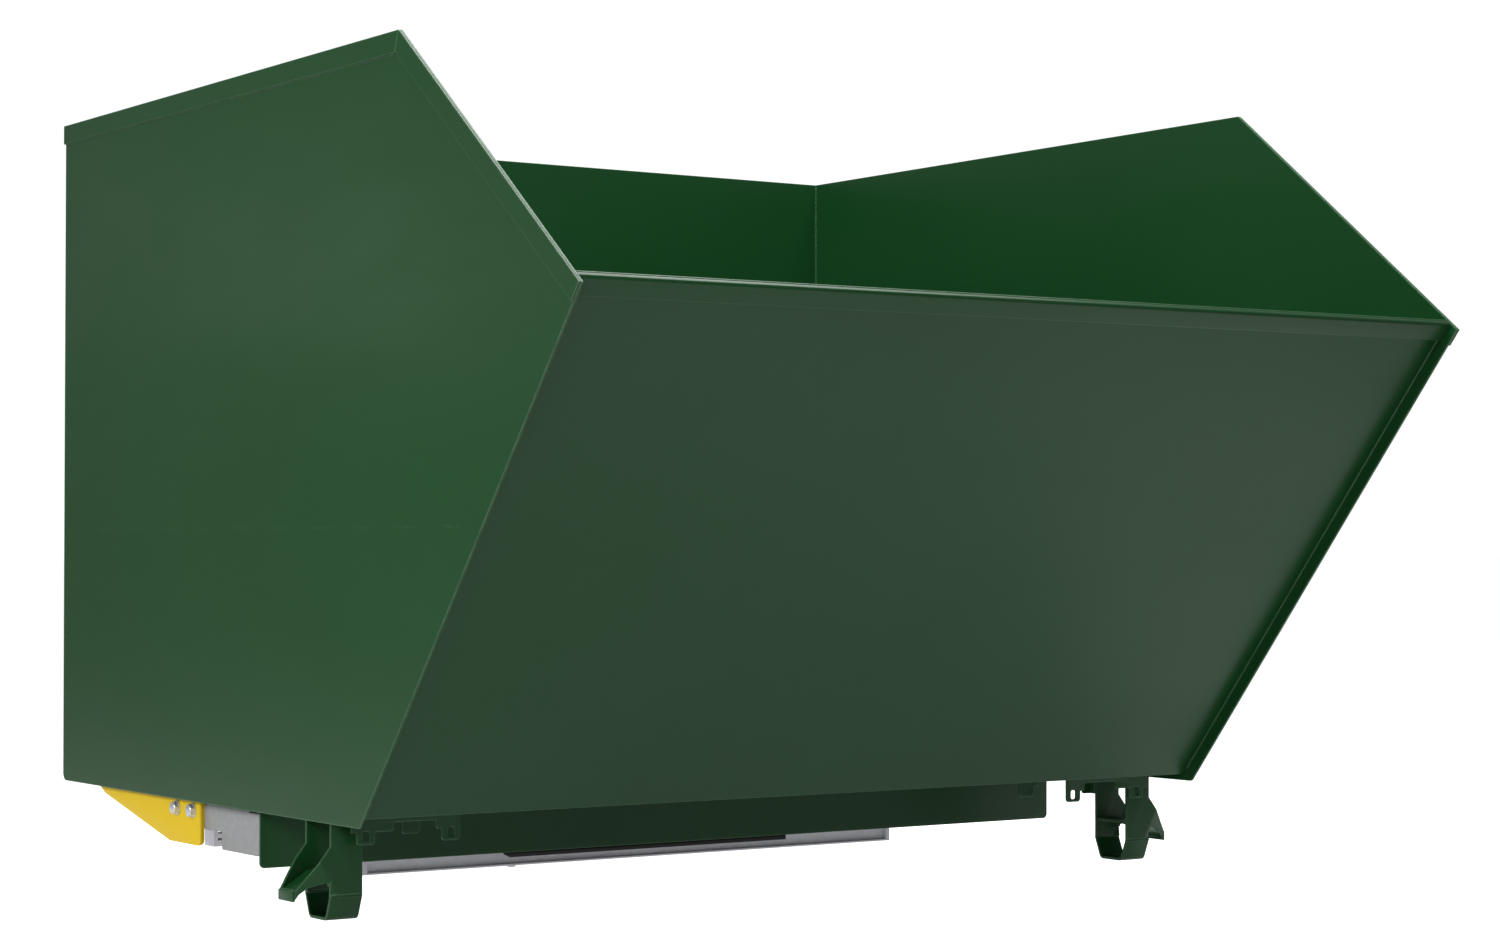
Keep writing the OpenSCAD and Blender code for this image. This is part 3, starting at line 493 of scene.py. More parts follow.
valley_top = None
for x in np.linspace(mouth_half, wall_x, 400):
    place = valley(-x)
    front_here = on_front(0, lip_inset + sheet)
    inside_y = front_here[0] + (place[2] - front_here[1]) * front_dir[0] / front_dir[1]
    if place[1] > inside_y:
        valley_top = place
side_top = pan_top + (wall_x - mouth_half) * side_rise
seams = [bead((-mouth_half, mouth_y, pan_top), valley_top, 0.0035),
         bead((-wall_x, wall_back, side_top), (-wall_x, valley_top[1] + 0.01, side_top), 0.004),
         bead((-mouth_half, wall_back, pan_top + 0.002), (-wall_x, wall_back, side_top), 0.0035),
         bead((-wall_x, wall_back, side_top), (-wall_x, wall_back, panel_high.z - 0.005), 0.004)]
for x in rib_xs[:2]:
    for side in (-1, 1):
        seams.append(bead((x + side * (rib_w / 2 + 0.001), rib_low.y, rib_low.z + 0.004),
                          (x + side * (rib_w / 2 + 0.001), rib_low.y, rib_high.z - 0.004), 0.002))
rim_low = panel_high.z - lip_h
seams.append(bead((-half_w, back_y - 0.004, rim_low), (-half_w, foot_y - 0.13, rim_low), 0.0016))
panel_seam = [(-wall_x, *on_front(along, lip_inset)) for along in (0.01, front_len - lip_h)]
seams.append(bead(*panel_seam, 0.003))
make("body_seams", joined(seams + [mirrored(seam) for seam in seams]), green_paint, "green_paint", "hopper")


# ---- Saddle plates ----
# Two upright plates stand across each hook bracket and carry it up to the side floor, which slopes at 45
# degrees over them. Each has two rounded lugs with a step cut between them; the front plates' lugs have an
# upright slot for a pin.

saddle_t = 0.005
saddle_inset = 0.038
saddle_w = 0.264
saddle_drop = 0.018
lug_drop = 0.041
lug_w = 0.038
lug_centres = (0.068, saddle_w - lug_w / 2)
step_x = (0.125, 0.214)
slot_w = 0.014
slot_h = 0.019
slot_r = 0.004
slot_z = -lug_drop + 0.006 + slot_h / 2


def round_slot(x, z, width, height, radius):
    """Upright slot with rounded corners."""
    return outline([(x - width / 2, z - height / 2, radius), (x + width / 2, z - height / 2, radius),
                    (x + width / 2, z + height / 2, radius), (x - width / 2, z + height / 2, radius)])


for place in ("front", "rear"):
    low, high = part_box(f"left_{place}_saddle")
    top = high.z - base_z - 0.002
    lug_a, lug_b = lug_centres
    saddle_outline = outline([
        (saddle_inset, -saddle_drop, 0.002), (lug_a - lug_w / 2, -saddle_drop, 0.003),
        (lug_a - lug_w / 2, -lug_drop, 0.007), (lug_a + lug_w / 2, -lug_drop, 0.007),
        (lug_a + lug_w / 2, -saddle_drop, 0.003), (step_x[0], -saddle_drop, 0.005),
        (step_x[0], -0.002, 0.003), (step_x[1], -0.002, 0.003), (step_x[1], -saddle_drop, 0.005),
        (lug_b - lug_w / 2, -saddle_drop, 0.003),
        (lug_b - lug_w / 2, -lug_drop, 0.007), (lug_b + lug_w / 2, -lug_drop, 0.007),
        (saddle_w, top - (saddle_w - saddle_inset), 0), (saddle_inset, top, 0)])
    slots = [round_slot(x, slot_z, slot_w, slot_h, slot_r) for x in lug_centres] if place == "front" else []
    saddle = slab([saddle_outline] + slots, saddle_t, 0.0009, (-half_w, high.y, base_z), X, Z)
    make_pair(f"{place}_saddle_plate", saddle, green_paint, "green_paint", f"{place}_saddle")


# ---- Hook straps ----
# Each hook is one flat blank of 6 mm plate. Its two ears are first bent in to make a nose, then the strap is
# folded into a U with a drawn-in foot.

def creased(shape, base, across, reach, steps=5):
    """The flat shape cut along the lines of a bend, so that the bend can curve."""
    points, faces, curved = shape
    cutter = bmesh.new()
    spots = [cutter.verts.new(point) for point in points]
    for face, is_curved in zip(faces, curved):
        made = cutter.faces.new([spots[corner] for corner in face])
        made.smooth = is_curved
    across = Vector(across).normalized()
    base = Vector(base)
    for line in range(steps + 1):
        everything = cutter.verts[:] + cutter.edges[:] + cutter.faces[:]
        bmesh.ops.bisect_plane(cutter, geom=everything, dist=1e-6,
                               plane_co=base + across * reach * line / steps, plane_no=across)
    for face in cutter.faces:
        far = (face.calc_center_median() - base).dot(across)
        if 0 < far < reach:
            face.smooth = True
    cutter.verts.index_update()
    points = np.array([spot.co for spot in cutter.verts])
    faces = [[spot.index for spot in face.verts] for face in cutter.faces]
    curved = [face.smooth for face in cutter.faces]
    cutter.free()
    return points, faces, curved


def folded(shape, base, along, across, angle, inner, plate, only=None):
    """Bends a flat shape about the line through base: beyond it the plate follows an arc of the inner radius
    toward along x across, then runs straight on. base lies on the plate's outer face."""
    along, across = unit(np.array(along, float)), unit(np.array(across, float))
    reach = (inner + plate / 2) * angle
    points, faces, curved = creased(shape, base, across, reach)
    normal = np.cross(along, across)
    offset = points - np.array(base, float)
    far, level = offset @ across, offset @ normal
    centre = inner + plate
    turned = np.clip(far / (inner + plate / 2), 0, angle)
    beyond = np.maximum(far - reach, 0)
    new_far = np.minimum(far, 0) + (centre - level) * np.sin(turned) + beyond * math.cos(angle)
    new_level = centre - (centre - level) * np.cos(turned) + beyond * math.sin(angle)
    bent = points + (new_far - far)[:, None] * across + (new_level - level)[:, None] * normal
    if only is not None:
        bent = np.where(only(points)[:, None], bent, points)
    return bent, faces, curved


strap_low, strap_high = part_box("left_hook_strap")
hook_t = 0.006
hook_w = 0.065
hook_x = strap_high.x - hook_w
hook_d = strap_high.y - strap_low.y
pad_z = strap_high.z
leg_z = base_z - 0.136
foot_z = strap_low.z
foot_draw = 0.018
nose_turn = math.radians(18)
nose_top = np.array([hook_x - 0.019, base_z - 0.068])
nose_low = np.array([hook_x + 0.003, base_z - 0.106])
nose_along = unit(nose_low - nose_top)
nose_out = np.array([nose_along[1], -nose_along[0]])
tip_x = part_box("left_hook_tip")[1].x
tip_z = base_z - 0.122
tip_h = 0.020


def unfolded(x, z):
    """Where a point of the bent nose lies on the flat blank."""
    far = (np.array([x, z]) - nose_top) @ nose_out
    return np.array([x, z]) + nose_out * far * (1 / math.cos(nose_turn) - 1)


def leg_blank():
    """Front leg and its ear, flat, with x outwards and z up; the outer face is the low side."""
    step_a = unfolded(tip_x + 0.006, tip_z - 0.007)
    step_b = unfolded(tip_x + 0.021, base_z - 0.117)
    corners = [(hook_x + hook_w, pad_z, 0), (hook_x, pad_z, 0), (hook_x, nose_top[1] + 0.025, 0.004),
               (*unfolded(tip_x - 0.001, tip_z - 0.0005), 0.001),
               (*unfolded(tip_x - 0.001, tip_z - tip_h + 0.0005), 0.001),
               (*step_a, 0.002), (*step_b, 0.003), (*nose_low, 0.004), (hook_x, nose_low[1] - 0.004, 0.002),
               (hook_x, leg_z + 0.0005, 0), (hook_x + hook_w, leg_z + 0.0005, 0)]
    return slab([outline(corners, 4)], hook_t, 0.0011, (0, strap_low.y + hook_t, 0), X, Z)


def ear_bent(shape):
    """The leg with its ear turned in about the nose's bend line."""
    points, faces, curved = shape
    base = (nose_top[0], strap_low.y, nose_top[1])
    along = (nose_along[0], 0, nose_along[1])
    across = (nose_out[0], 0, nose_out[1])
    if np.cross(along, across)[1] < 0:
        along = tuple(-part for part in along)
    return folded(shape, base, along, across, nose_turn, 0.012, hook_t,
                  lambda spots: spots[:, 2] > base_z - 0.2)


front_leg = ear_bent(leg_blank())
mid_y = (strap_low.y + strap_high.y) / 2


def turned_back(shape):
    """The same shape seen from behind: mirrored front to back about the bracket's middle."""
    points, faces, curved = shape
    return points * (1, -1, 1) + (0, 2 * mid_y, 0), [face[::-1] for face in faces], curved


foot_dir = unit(np.array([foot_draw, foot_z - leg_z]))
foot_in = np.array([-foot_dir[1], foot_dir[0]])


def foot_side(inset):
    """Points of the foot's side view at an inset from its outer face: leg end, bend and bottom corner."""
    start = np.array([0.0, leg_z]) + foot_in * inset
    bend = start + foot_dir * (inset - start[0]) / foot_dir[0]
    corner = start + foot_dir * (foot_z + inset - start[1]) / foot_dir[1]
    return bend, corner


strap_r = 0.014
outer_bend, outer_corner = foot_side(0.0)
inner_bend, inner_corner = foot_side(hook_t)
near, far = strap_low.y + 0.000005, strap_high.y - 0.000005
leg_end = leg_z + 0.0045
foot_outline = outline([
    (near, leg_end, 0), (near + outer_bend[0], outer_bend[1], 0.002),
    (near + outer_corner[0], outer_corner[1], strap_r), (far - outer_corner[0], outer_corner[1], strap_r),
    (far - outer_bend[0], outer_bend[1], 0.002), (far, leg_end, 0), (far - hook_t, leg_end, 0),
    (far - inner_bend[0], inner_bend[1], 0.002), (far - inner_corner[0], inner_corner[1], strap_r - hook_t),
    (near + inner_corner[0], inner_corner[1], strap_r - hook_t), (near + inner_bend[0], inner_bend[1], 0.002),
    (near + hook_t, leg_end, 0)], 8)
foot = slab([foot_outline], hook_w, 0.0011, (hook_x, 0, 0), Y, Z)
strap = joined([front_leg, turned_back(front_leg), foot])
make_pair("hook", strap, green_paint, "green_paint", "hook_strap")


# ---- Nose floor, tip plate, top plate and gusset of each hook ----
# Small plates welded into the folded strap: a floor that slopes down into the nose, a blunt tip, a plate
# across the top between the saddles, and a gusset behind.

shelf_z = nose_low[1] + 0.008
slope_z = tip_z - tip_h + hook_t
floor_section = outline([
    (hook_x + hook_w - 0.002, shelf_z, 0), (hook_x + hook_w - 0.002, shelf_z + hook_t, 0),
    (nose_low[0], shelf_z + hook_t, 0.008), (tip_x, slope_z + 2 * hook_t, 0), (tip_x, slope_z + hook_t, 0),
    (nose_low[0], shelf_z, 0.012)])
clear_d = hook_d - 2 * hook_t
nose_floor = slab([floor_section], clear_d, 0.0006, (0, strap_high.y - hook_t, 0), X, Z)
nose_floor = creased(nose_floor, (nose_low[0], 0, 0), (-1, 0, 0), nose_low[0] - tip_x, 6)
points, faces, curved = nose_floor
tip_low, tip_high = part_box("left_hook_tip")
tip_half = (tip_high.y - tip_low.y) / 2
tip_play = 0.005
share = np.clip((nose_low[0] - points[:, 0]) / (nose_low[0] - tip_x), 0, 1)
half_here = clear_d / 2 + share * (tip_half - tip_play - clear_d / 2)
points[:, 1] = mid_y + (points[:, 1] - mid_y) * half_here / (clear_d / 2)
nose_floor = (points, faces, curved)


def block(low, high, edge):
    """Small plate that fills a box, with rounded edges."""
    low, high = np.array(low), np.array(high)
    width, depth, height = high - low
    round_r = 0.0015
    loop = outline([(0, 0, round_r), (width, 0, round_r), (width, depth, round_r), (0, depth, round_r)], 3)
    return slab([loop], height, edge, low, X, Y)


tip_plate = block(tip_low, tip_high, 0.0012)
pad = block(*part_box("left_hook_pad"), 0.001)
gusset_low, gusset_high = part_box("left_hook_gusset")
gusset = slab([outline([
    (gusset_low.y, gusset_high.z, 0), (gusset_low.y, gusset_low.z, 0.001),
    (gusset_low.y + 0.012, gusset_low.z, 0.004), (gusset_high.y, base_z, 0.002),
    (gusset_high.y, gusset_high.z, 0)])], hook_t, 0.001, (gusset_low.x, 0, 0), Y, Z)
small_plates = {"nose_floor": (nose_floor, "hook_floor"), "nose_tip": (tip_plate, "hook_tip"),
                "top_plate": (pad, "hook_pad"), "rear_gusset": (gusset, "hook_gusset")}
for label, (shape, stands_for) in small_plates.items():
    make_pair(label, shape, green_paint, "green_paint", stands_for)

saddle_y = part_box("left_rear_saddle")[0].y
shelf_top = shelf_z + hook_t
hook_inner_x = hook_x + hook_w
hook_beads = [
    bead((hook_x + 0.012, y, shelf_top), (hook_inner_x - 0.004, y, shelf_top), 0.002)
    for y in (near + hook_t, far - hook_t)]
hook_beads += [
    bead((hook_inner_x, far, base_z - 0.038), (hook_inner_x, far, pad_z - 0.004), 0.002),
    bead((hook_inner_x, saddle_y, base_z + 0.003), (hook_inner_x, saddle_y, pad_z - 0.004), 0.002),
    bead((tip_x, tip_low.y + 0.004, tip_z + 0.0005), (tip_x, tip_high.y - 0.004, tip_z + 0.0005), 0.0012)]
make("hook_seams", joined(hook_beads + [mirrored(seam) for seam in hook_beads]), green_paint, "green_paint",
     "hopper")


# ---- Front skirt ----
# One long blank whose top flange is folded back and bolted up to the cross angle.

skirt_low, skirt_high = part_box("front_skirt")
skirt_t = 0.005
flange_w = 0.045
bend_r = 0.003
flange_loss = 0.006
skirt_half = -skirt_low.x
flange_half = skirt_half - 0.004
skirt_bend_z = skirt_high.z - bend_r - skirt_t
skirt_end_z = skirt_high.z + flange_w - flange_loss
skirt_blank = slab([outline([
    (-skirt_half, skirt_low.z, 0.010), (skirt_half, skirt_low.z, 0.010), (skirt_half, skirt_bend_z, 0.001),
    (flange_half, skirt_high.z - 0.002, 0.001), (flange_half, skirt_end_z, 0.004),
    (-flange_half, skirt_end_z, 0.004), (-flange_half, skirt_high.z - 0.002, 0.001),
    (-skirt_half, skirt_bend_z, 0.001)])], skirt_t, 0.001, (0, skirt_low.y + skirt_t, 0), X, Z)
skirt = folded(skirt_blank, (0, skirt_low.y, skirt_bend_z), (-1, 0, 0), Z, math.pi / 2, bend_r, skirt_t)
make("folded_skirt", skirt, green_paint, "green_paint", "hopper", "front_skirt")


# ---- Galvanised pieces ----
# The end plates, the rails, the pan and the gate's guides are hot-dip galvanised: matt grey with a faint
# crystal spangle. The rails and their caps take a much lighter copy of the zinc, a painted light for the
# light that reaches them under the hopper. The end plates are stepped blanks with a flange folded in along
# the top.

def spangle_group():
    """Crystal pattern of zinc: Voronoi cells of one tone each, with a soft tone variation over them."""
    group, entry, leave = add_group(
        "spangle", {"Scale": 60.0}, {"Tone": "NodeSocketFloat", "Height": "NodeSocketFloat"})
    place = put(group, "ShaderNodeTexCoord")
    cells = put(group, "ShaderNodeTexVoronoi", Vector=place.outputs["Object"], Scale=entry.outputs["Scale"])
    split = put(group, "ShaderNodeSeparateColor", Color=cells.outputs["Color"])
    cloud = put(group, "ShaderNodeTexNoise", Vector=place.outputs["Object"], Scale=9.0, Detail=5.0)
    tone = put(group, "ShaderNodeMath", {"operation": "MULTIPLY"}, i0=split.outputs[0],
               i1=cloud.outputs["Fac"])
    group.links.new(tone.outputs[0], leave.inputs["Tone"])
    group.links.new(cells.outputs["Distance"], leave.inputs["Height"])
    return group


spangle = spangle_group()


def zinc_coated(name, dark, light, roughness, scale, dust, metallic):
    """Zinc-coated steel whose crystals differ in tone and gloss."""
    material = bpy.data.materials.new(name)
    material.use_nodes = True
    tree = material.node_tree
    shader = tree.nodes["Principled BSDF"]
    shader.inputs["Metallic"].default_value = metallic
    crystals = put(tree, "ShaderNodeGroup", {"node_tree": spangle}, Scale=scale)
    dirt = put(tree, "ShaderNodeGroup", {"node_tree": settled_dust}, Amount=dust)
    # Lighter edges: rubbed zinc plus a painted highlight where light catches the edge.
    edges = put(tree, "ShaderNodeGroup", {"node_tree": edge_wear_and_highlight}, Width=0.002, Amount=0.5)
    tone = put(tree, "ShaderNodeMix", {"data_type": "RGBA"}, i0=crystals.outputs["Tone"],
               i6=(*dark, 1), i7=(*light, 1))
    edged = put(tree, "ShaderNodeMix", {"data_type": "RGBA"}, i0=edges.outputs["Mask"],
                i6=tone.outputs[2], i7=(*[min(part * 1.3, 1) for part in light], 1))
    dusty = put(tree, "ShaderNodeMix", {"data_type": "RGBA"}, i0=dirt.outputs["Mask"],
                i6=edged.outputs[2], i7=(0.25, 0.24, 0.21, 1))
    tree.links.new(dusty.outputs[2], shader.inputs["Base Color"])
    gloss = put(tree, "ShaderNodeMapRange", i0=crystals.outputs["Tone"], i1=0.0, i2=0.8,
                i3=roughness + 0.1, i4=roughness - 0.04)
    tree.links.new(gloss.outputs[0], shader.inputs["Roughness"])
    bump = put(tree, "ShaderNodeBump", Strength=0.1, Distance=0.0004, Height=crystals.outputs["Height"])
    tree.links.new(bump.outputs[0], shader.inputs["Normal"])
    return material


galvanised = zinc_coated("galvanised_steel", (0.28, 0.285, 0.29), (0.33, 0.335, 0.345), 0.5, 90.0, 0.05,
                         metallic=0.25)

plate_low, plate_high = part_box("left_end_plate")
plate_front = plate_low.y
end_t = 0.005
end_bend_z = plate_high.z - bend_r - end_t
end_flange_z = plate_high.z + flange_w - flange_loss
tail_z = plate_high.z - 0.055
deep_y = plate_front + 0.169
tail_y = plate_front + 0.515
end_blank = slab([outline([
    (plate_front, end_bend_z, 0.001), (plate_front, plate_low.z, 0.010), (deep_y, plate_low.z, 0.004),
    (deep_y, tail_z, 0.002), (tail_y, tail_z, 0.010), (tail_y, end_bend_z, 0.001),
    (tail_y - 0.002, end_flange_z, 0.004), (plate_front + flange_w, end_flange_z, 0.004),
    (plate_front + flange_w, end_bend_z, 0.001)])], end_t, 0.001, (plate_low.x, 0, 0), Y, Z)
end_plate = folded(end_blank, (plate_low.x, 0, end_bend_z), Y, Z, math.pi / 2, bend_r, end_t)
make_pair("end_sheet", end_plate, galvanised, "galvanised_steel", "end_plate")
# Rails and rail caps: a far lighter, bluish copy of the zinc, painted light standing in for the light under
# the hopper.
zinc_with_painted_light = zinc_coated("zinc_with_painted_light", (0.8, 0.8, 0.86), (0.9, 0.9, 0.95), 0.42, 90.0, 0.02, metallic=0.1)
dress(["outlet_pan", "left_gate_guide", "right_gate_guide"], galvanised, 0.001)
dress(["outlet_front_rail", "outlet_rear_rail", "left_rail_caps", "right_rail_caps"], zinc_with_painted_light, 0.001)


# ---- Guard plates ----
# Yellow plates bolted over the end plates guard the outlet from the side; a second yellow sheet behind each
# packs it out from the end plate.

yellow_paint = painted("yellow_paint", (0.66, 0.45, 0.004), (0.85, 0.68, 0.16), 0.42, 0.01,
                       wear_and_highlight=0.4, wave=8.0, index=1.3)
guard_low, guard_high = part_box("left_guard_plate")
backing_low, backing_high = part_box("left_guard_backing")
flat_end = guard_low.y + 0.148
slant_end = (guard_high.y - 0.021, guard_high.z - 0.015)
guard_corners = [(guard_low.y, guard_high.z, 0), (guard_low.y, guard_low.z, 0.012),
                 (flat_end, guard_low.z, 0.025), (*slant_end, 0.012),
                 (guard_high.y, guard_high.z - 0.004, 0), (guard_high.y, guard_high.z, 0)]
guard = slab([outline(guard_corners, 8)], guard_high.x - guard_low.x, 0.0012, (guard_low.x, 0, 0), Y, Z)
slant = (slant_end[1] - guard_low.z) / (slant_end[0] - flat_end)
backing_end_z = guard_low.z + slant * (backing_high.y - flat_end)
backing_corners = [(backing_low.y, guard_high.z, 0), (backing_low.y, backing_low.z, 0.012),
                   (flat_end, backing_low.z, 0.02), (backing_high.y, backing_end_z, 0),
                   (backing_high.y, guard_high.z, 0)]
paint_gap = 0.0001
backing = slab([outline(backing_corners, 8)], backing_high.x - backing_low.x - 2 * paint_gap, 0.001,
               (backing_low.x + paint_gap, 0, 0), Y, Z)
make_pair("guard", guard, yellow_paint, "yellow_paint", "guard_plate")
make_pair("guard_packer", backing, yellow_paint, "yellow_paint", "guard_backing")


# ---- Bolts, washers and nuts ----
# Zinc-plated hexagon bolts: forged heads with a turned chamfer, rolled threads and chamfered nuts.

zinc_plate = zinc_coated("zinc_plate", (0.6, 0.61, 0.63), (0.75, 0.75, 0.76), 0.28, 160.0, 0.03, metallic=0.8)


def hexagon(angle, flats):
    """Radius of a hexagon across flats at an angle."""
    return flats / 2 / np.cos((angle + math.pi / 6) % (math.pi / 3) - math.pi / 6)


def turned_part(heights, radii, flats, hexed, threads=None, sides=48):
    """Rings whose radius is the turned profile's, cut down to the hexagon where hexed; a thread ripples the
    rings between two heights as one helix. Closed at both ends by flat caps."""
    angle = np.linspace(0, 2 * math.pi, sides, endpoint=False)
    heights, radii, hexed = np.array(heights), np.array(radii), np.array(hexed)
    radius = np.repeat(radii[:, None], sides, 1)
    radius = np.where(hexed[:, None], np.minimum(radius, hexagon(angle, flats)[None]), radius)
    if threads:
        low, high, pitch, depth = threads
        phase = (heights[:, None] / pitch - angle[None] / (2 * math.pi)) % 1
        inside = ((heights > low) & (heights < high))[:, None]
        radius = radius - np.where(inside, depth * 2 * np.abs(phase - 0.5), 0)
    points = np.stack([radius * np.cos(angle), radius * np.sin(angle),
                       np.repeat(heights[:, None], sides, 1)], -1)
    rows = len(heights)
    row, column = np.meshgrid(np.arange(rows - 1), np.arange(sides), indexing="ij")
    onward = (column + 1) % sides
    quads = np.stack([row * sides + column, (row + 1) * sides + column, (row + 1) * sides + onward,
                      row * sides + onward], -1).reshape(-1, 4).tolist()
    ends = [list(range(sides)), list(range((rows - 1) * sides, rows * sides))[::-1]]
    return points.reshape(-1, 3), quads + ends, [True] * len(quads) + [False, False]


def bolt(shank, flats, head, length, pitch):
    """Hexagon bolt, head up from z = 0, shank down; its end is threaded and chamfered."""
    corner = flats / math.sqrt(3)
    heights = [head, head - 0.0003, head - 0.0012, head - 0.0026, head - 0.0036, 0.0006, 0.0003, 0.0]
    radii = [flats * 0.43, flats * 0.46, flats * 0.505, flats * 0.56, corner * 1.01, corner * 1.01,
             flats * 0.49, flats * 0.475]
    hexed = [False, False, True, True, True, True, False, False]
    smooth_end = -length * 0.45
    thread_z = np.arange(smooth_end - 0.0005, -length + 0.0012, -pitch / 4)
    heights += [-0.00001, smooth_end, *thread_z, -length + 0.001, -length]
    radii += [shank, shank, *[shank] * len(thread_z), shank * 0.97, shank * 0.8]
    hexed += [False] * (len(heights) - len(hexed))
    return turned_part(heights, radii, flats, hexed, (-length + 0.0011, smooth_end, pitch, pitch * 0.5))


def ring(heights, radii, flats, hexed, sides=48):
    """Closed ring: the profile runs down the outside and back up the bore."""
    points, faces, curved = turned_part(heights, radii, flats, hexed, None, sides)
    rows = len(heights)
    closing = [[(rows - 1) * sides + column, column, (column + 1) % sides,
                (rows - 1) * sides + (column + 1) % sides] for column in range(sides)]
    return points, faces[:-2] + closing, curved[:-2] + [True] * sides


def nut(shank, flats, height):
    """Hexagon nut below z = 0, chamfered on both faces, with a countersunk bore."""
    corner = flats / math.sqrt(3)
    heights = [0, -0.0004, -0.0014, -0.0024, -height + 0.0024, -height + 0.0014, -height + 0.0004, -height,
               -height, -height + 0.0008, -0.0008, 0]
    radii = [flats * 0.47, flats * 0.5, flats * 0.54, corner * 1.01, corner * 1.01, flats * 0.54, flats * 0.5,
             flats * 0.47, shank * 1.1, shank * 1.005, shank * 1.005, shank * 1.1]
    return ring(heights, radii, flats, [False, True, True, True, True, True, True, False] + [False] * 4)


def washer(bore, outer, thick):
    """Flat washer above z = 0 with rounded rims."""
    heights = [thick, thick - 0.0002, thick - 0.0006, 0.0006, 0.0002, 0, 0, 0.0004, thick - 0.0004, thick]
    radii = [outer - 0.0007, outer - 0.0002, outer, outer, outer - 0.0002, outer - 0.0007,
             bore + 0.0003, bore, bore, bore + 0.0003]
    return ring(heights, radii, 1.0, [False] * len(heights))


def set_down(shape, place, turn=0.0):
    """A fastener moved to a place, turned about its own upright axis."""
    points, faces, curved = shape
    spun = points @ np.array([[math.cos(turn), math.sin(turn), 0], [-math.sin(turn), math.cos(turn), 0],
                              [0, 0, 1]])
    return spun + np.array(place), faces, curved


def laid_out(shape, place, turn=0.0):
    """A fastener moved to a place with its axis pointing out to the left."""
    points, faces, curved = set_down(shape, (0, 0, 0), turn)
    axes = np.array([(0, 0, 1), (0, 1, 0), (-1, 0, 0)], float)
    return points @ axes + np.array(place), faces, curved


m16_r, m16_flats, m16_head, m16_nut, m16_pitch = 0.008, 0.024, 0.010, 0.013, 0.002
m12_r, m12_flats, m12_head, m12_nut, m12_pitch = 0.006, 0.018, 0.0075, 0.0108, 0.00175
washer_t = 0.003
guard_ys = [guard_low.y + 0.032, guard_low.y + 0.109]
guard_z = guard_high.z - 0.020
guard_grip = plate_low.x + end_t - guard_low.x
guard_bolt = bolt(m16_r, m16_flats, m16_head, washer_t + guard_grip + m16_nut + 0.004, m16_pitch)
turns = [0.35, 1.25, 0.1, 0.8, 0.55, 1.0]
bolts, washers, nuts = [], [], []
for index, y in enumerate(guard_ys):
    bolts.append(laid_out(guard_bolt, (guard_low.x - washer_t, y, guard_z), turns[index]))
    washers.append(laid_out(washer(m16_r + 0.0002, 0.015, washer_t), (guard_low.x, y, guard_z)))
    nuts.append(laid_out(nut(m16_r, m16_flats, m16_nut), (guard_low.x + guard_grip, y, guard_z),
                         turns[index + 2]))
guard_fasteners = (("hex_bolts", bolts, "guard_bolts"), ("flat_washers", washers, "guard_washers"),
                   ("hex_nuts", nuts, "guard_nuts"))
for name, shapes, stands_for in guard_fasteners:
    make(name, joined(shapes + [mirrored(shape) for shape in shapes]), zinc_plate, "zinc_plate", "hopper",
         stands_for)

end_run = 0.515
base_ys = [skirt_low.y + share * end_run for share in (0.17, 0.45, 0.85)]
skirt_pitch = (2 * half_w - 2 * (saddle_w + 0.016)) / 5
base_spots = [(side * (half_w - 0.0515), y) for side in (-1, 1) for y in base_ys]
base_spots += [((index - 2.5) * skirt_pitch, skirt_low.y + (flange_w + skirt_t) / 2) for index in range(6)]
base_bolt = bolt(m12_r, m12_flats, m12_head, sheet + skirt_t + m12_nut + 0.003, m12_pitch)
make("underside_bolts", joined([set_down(base_bolt, (x, y, base_z + sheet), turns[index % 6])
                                for index, (x, y) in enumerate(base_spots)]),
     zinc_plate, "zinc_plate", "hopper", "base_bolts")
m12_hex_nut = nut(m12_r, m12_flats, m12_nut)
make("underside_nuts", joined([set_down(m12_hex_nut, (x, y, base_z - skirt_t), turns[-index % 6])
                               for index, (x, y) in enumerate(base_spots)]),
     zinc_plate, "zinc_plate", "hopper", "base_nuts")

pan_top_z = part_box("outlet_pan")[1].z
rail_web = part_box("outlet_front_rail")[1].z - 0.004
clamp_x = 0.372
clamp_y = 0.350
clamp_spots = [(x, y) for x in (-clamp_x, clamp_x) for y in (-clamp_y, clamp_y)]
clamp_bolt = bolt(m12_r, m12_flats, m12_head, pan_top_z - rail_web + m12_nut + 0.002, m12_pitch)
make("frame_clamp_bolts", joined([set_down(clamp_bolt, (x, y, pan_top_z), turns[index])
                                  for index, (x, y) in enumerate(clamp_spots)]),
     zinc_plate, "zinc_plate", "hopper", "frame_bolts")
make("frame_clamp_nuts", joined([set_down(m12_hex_nut, (x, y, rail_web), turns[index + 1])
                                 for index, (x, y) in enumerate(clamp_spots)]),
     zinc_plate, "zinc_plate", "hopper", "frame_nuts")


# ---- Slide gate ----
# Black plate that slides forwards in the guides to open the mouth. Its front edge is folded down into a
# grip with one corner cut off.

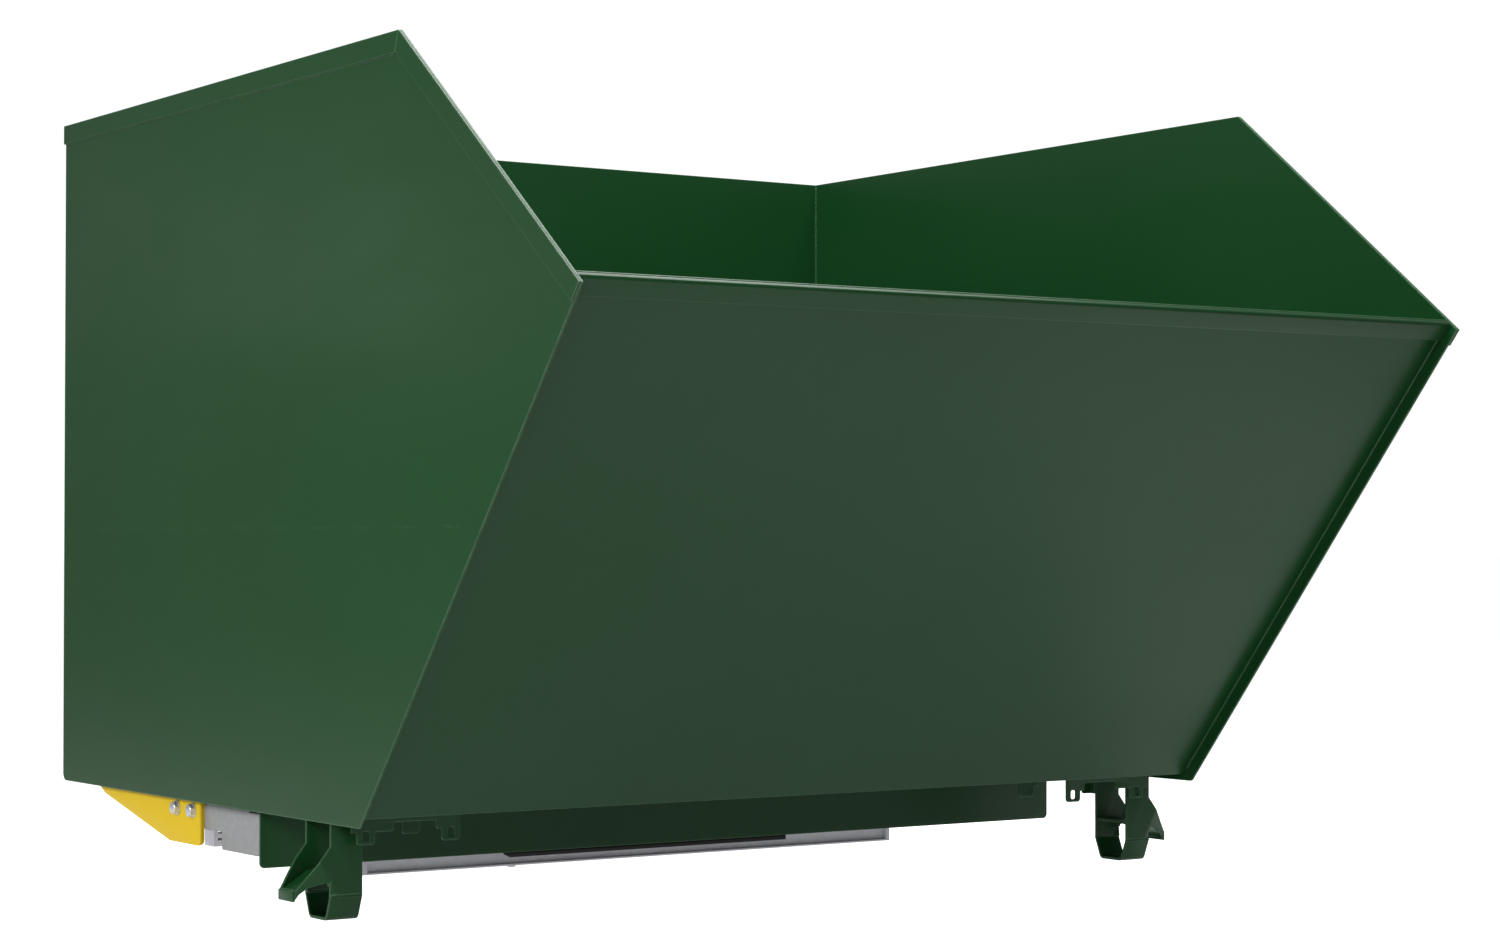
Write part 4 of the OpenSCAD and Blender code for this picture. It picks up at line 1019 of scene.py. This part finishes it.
black_paint = painted("black_paint", (0.011, 0.011, 0.012), (0.09, 0.09, 0.09), 0.4, 0.12, wear_and_highlight=0.5, wave=4.0)
gate_low, gate_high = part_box("slide_gate")
gate_t = 0.004
gate_r = 0.002
lip_reach = gate_low.y + gate_t + gate_r
grip = gate_high.z - gate_low.z - gate_t - gate_r
grip_end = lip_reach - 0.004 - grip
gate_blank = slab([outline([
    (gate_low.x, gate_high.y, 0.001), (gate_low.x, grip_end + 0.007, 0.001),
    (gate_low.x + 0.014, grip_end, 0.002), (gate_high.x, grip_end, 0.003),
    (gate_high.x, gate_high.y, 0.001)])], gate_t, 0.0008, (0, 0, gate_high.z - gate_t), X, Y)
gate = folded(gate_blank, (0, lip_reach, gate_high.z), X, (0, -1, 0), math.pi / 2, gate_r, gate_t)
make("gate_plate", gate, black_paint, "black_paint", "gate", "slide_gate")


# ---- Lock screw ----
# Zinc-plated hexagon screw under the front rail: turned up, its tip bears on the gate and locks it.

screw_low, screw_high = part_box("gate_lock_screw")
screw_x = (screw_low.x + screw_high.x) / 2
screw_y = (screw_low.y + screw_high.y) / 2
screw_len = screw_high.z - screw_low.z
screw_pitch = 0.0015
head_h = 0.006
shank_r = 0.005
flats = 0.017
corner = flats / math.sqrt(3)
thread_z = np.arange(0.0, screw_len - head_h - screw_pitch, screw_pitch / 4)
screw_heights = [0, 0.0003, 0.0012, 0.0022, head_h - 0.0004, head_h, head_h + 0.00001,
                 *(head_h + 0.0005 + thread_z), screw_len]
screw_radii = [flats * 0.43, flats * 0.46, flats * 0.53, corner * 1.01, corner * 1.01, flats * 0.48, shank_r,
               *[shank_r] * len(thread_z), shank_r * 0.8]
screw_hexed = [False, False, True, True, True] + [False] * (len(thread_z) + 3)
points, faces, curved = turned_part(screw_heights, screw_radii, flats, screw_hexed,
                                    (head_h + 0.0004, screw_len - 0.001, screw_pitch, 0.0007))
screw = set_down((points, [face[::-1] for face in faces], curved), (screw_x, screw_y, screw_low.z), 0.3)
make("lock_screw_threaded", screw, zinc_plate, "zinc_plate", "lock_screw", "gate_lock_screw")
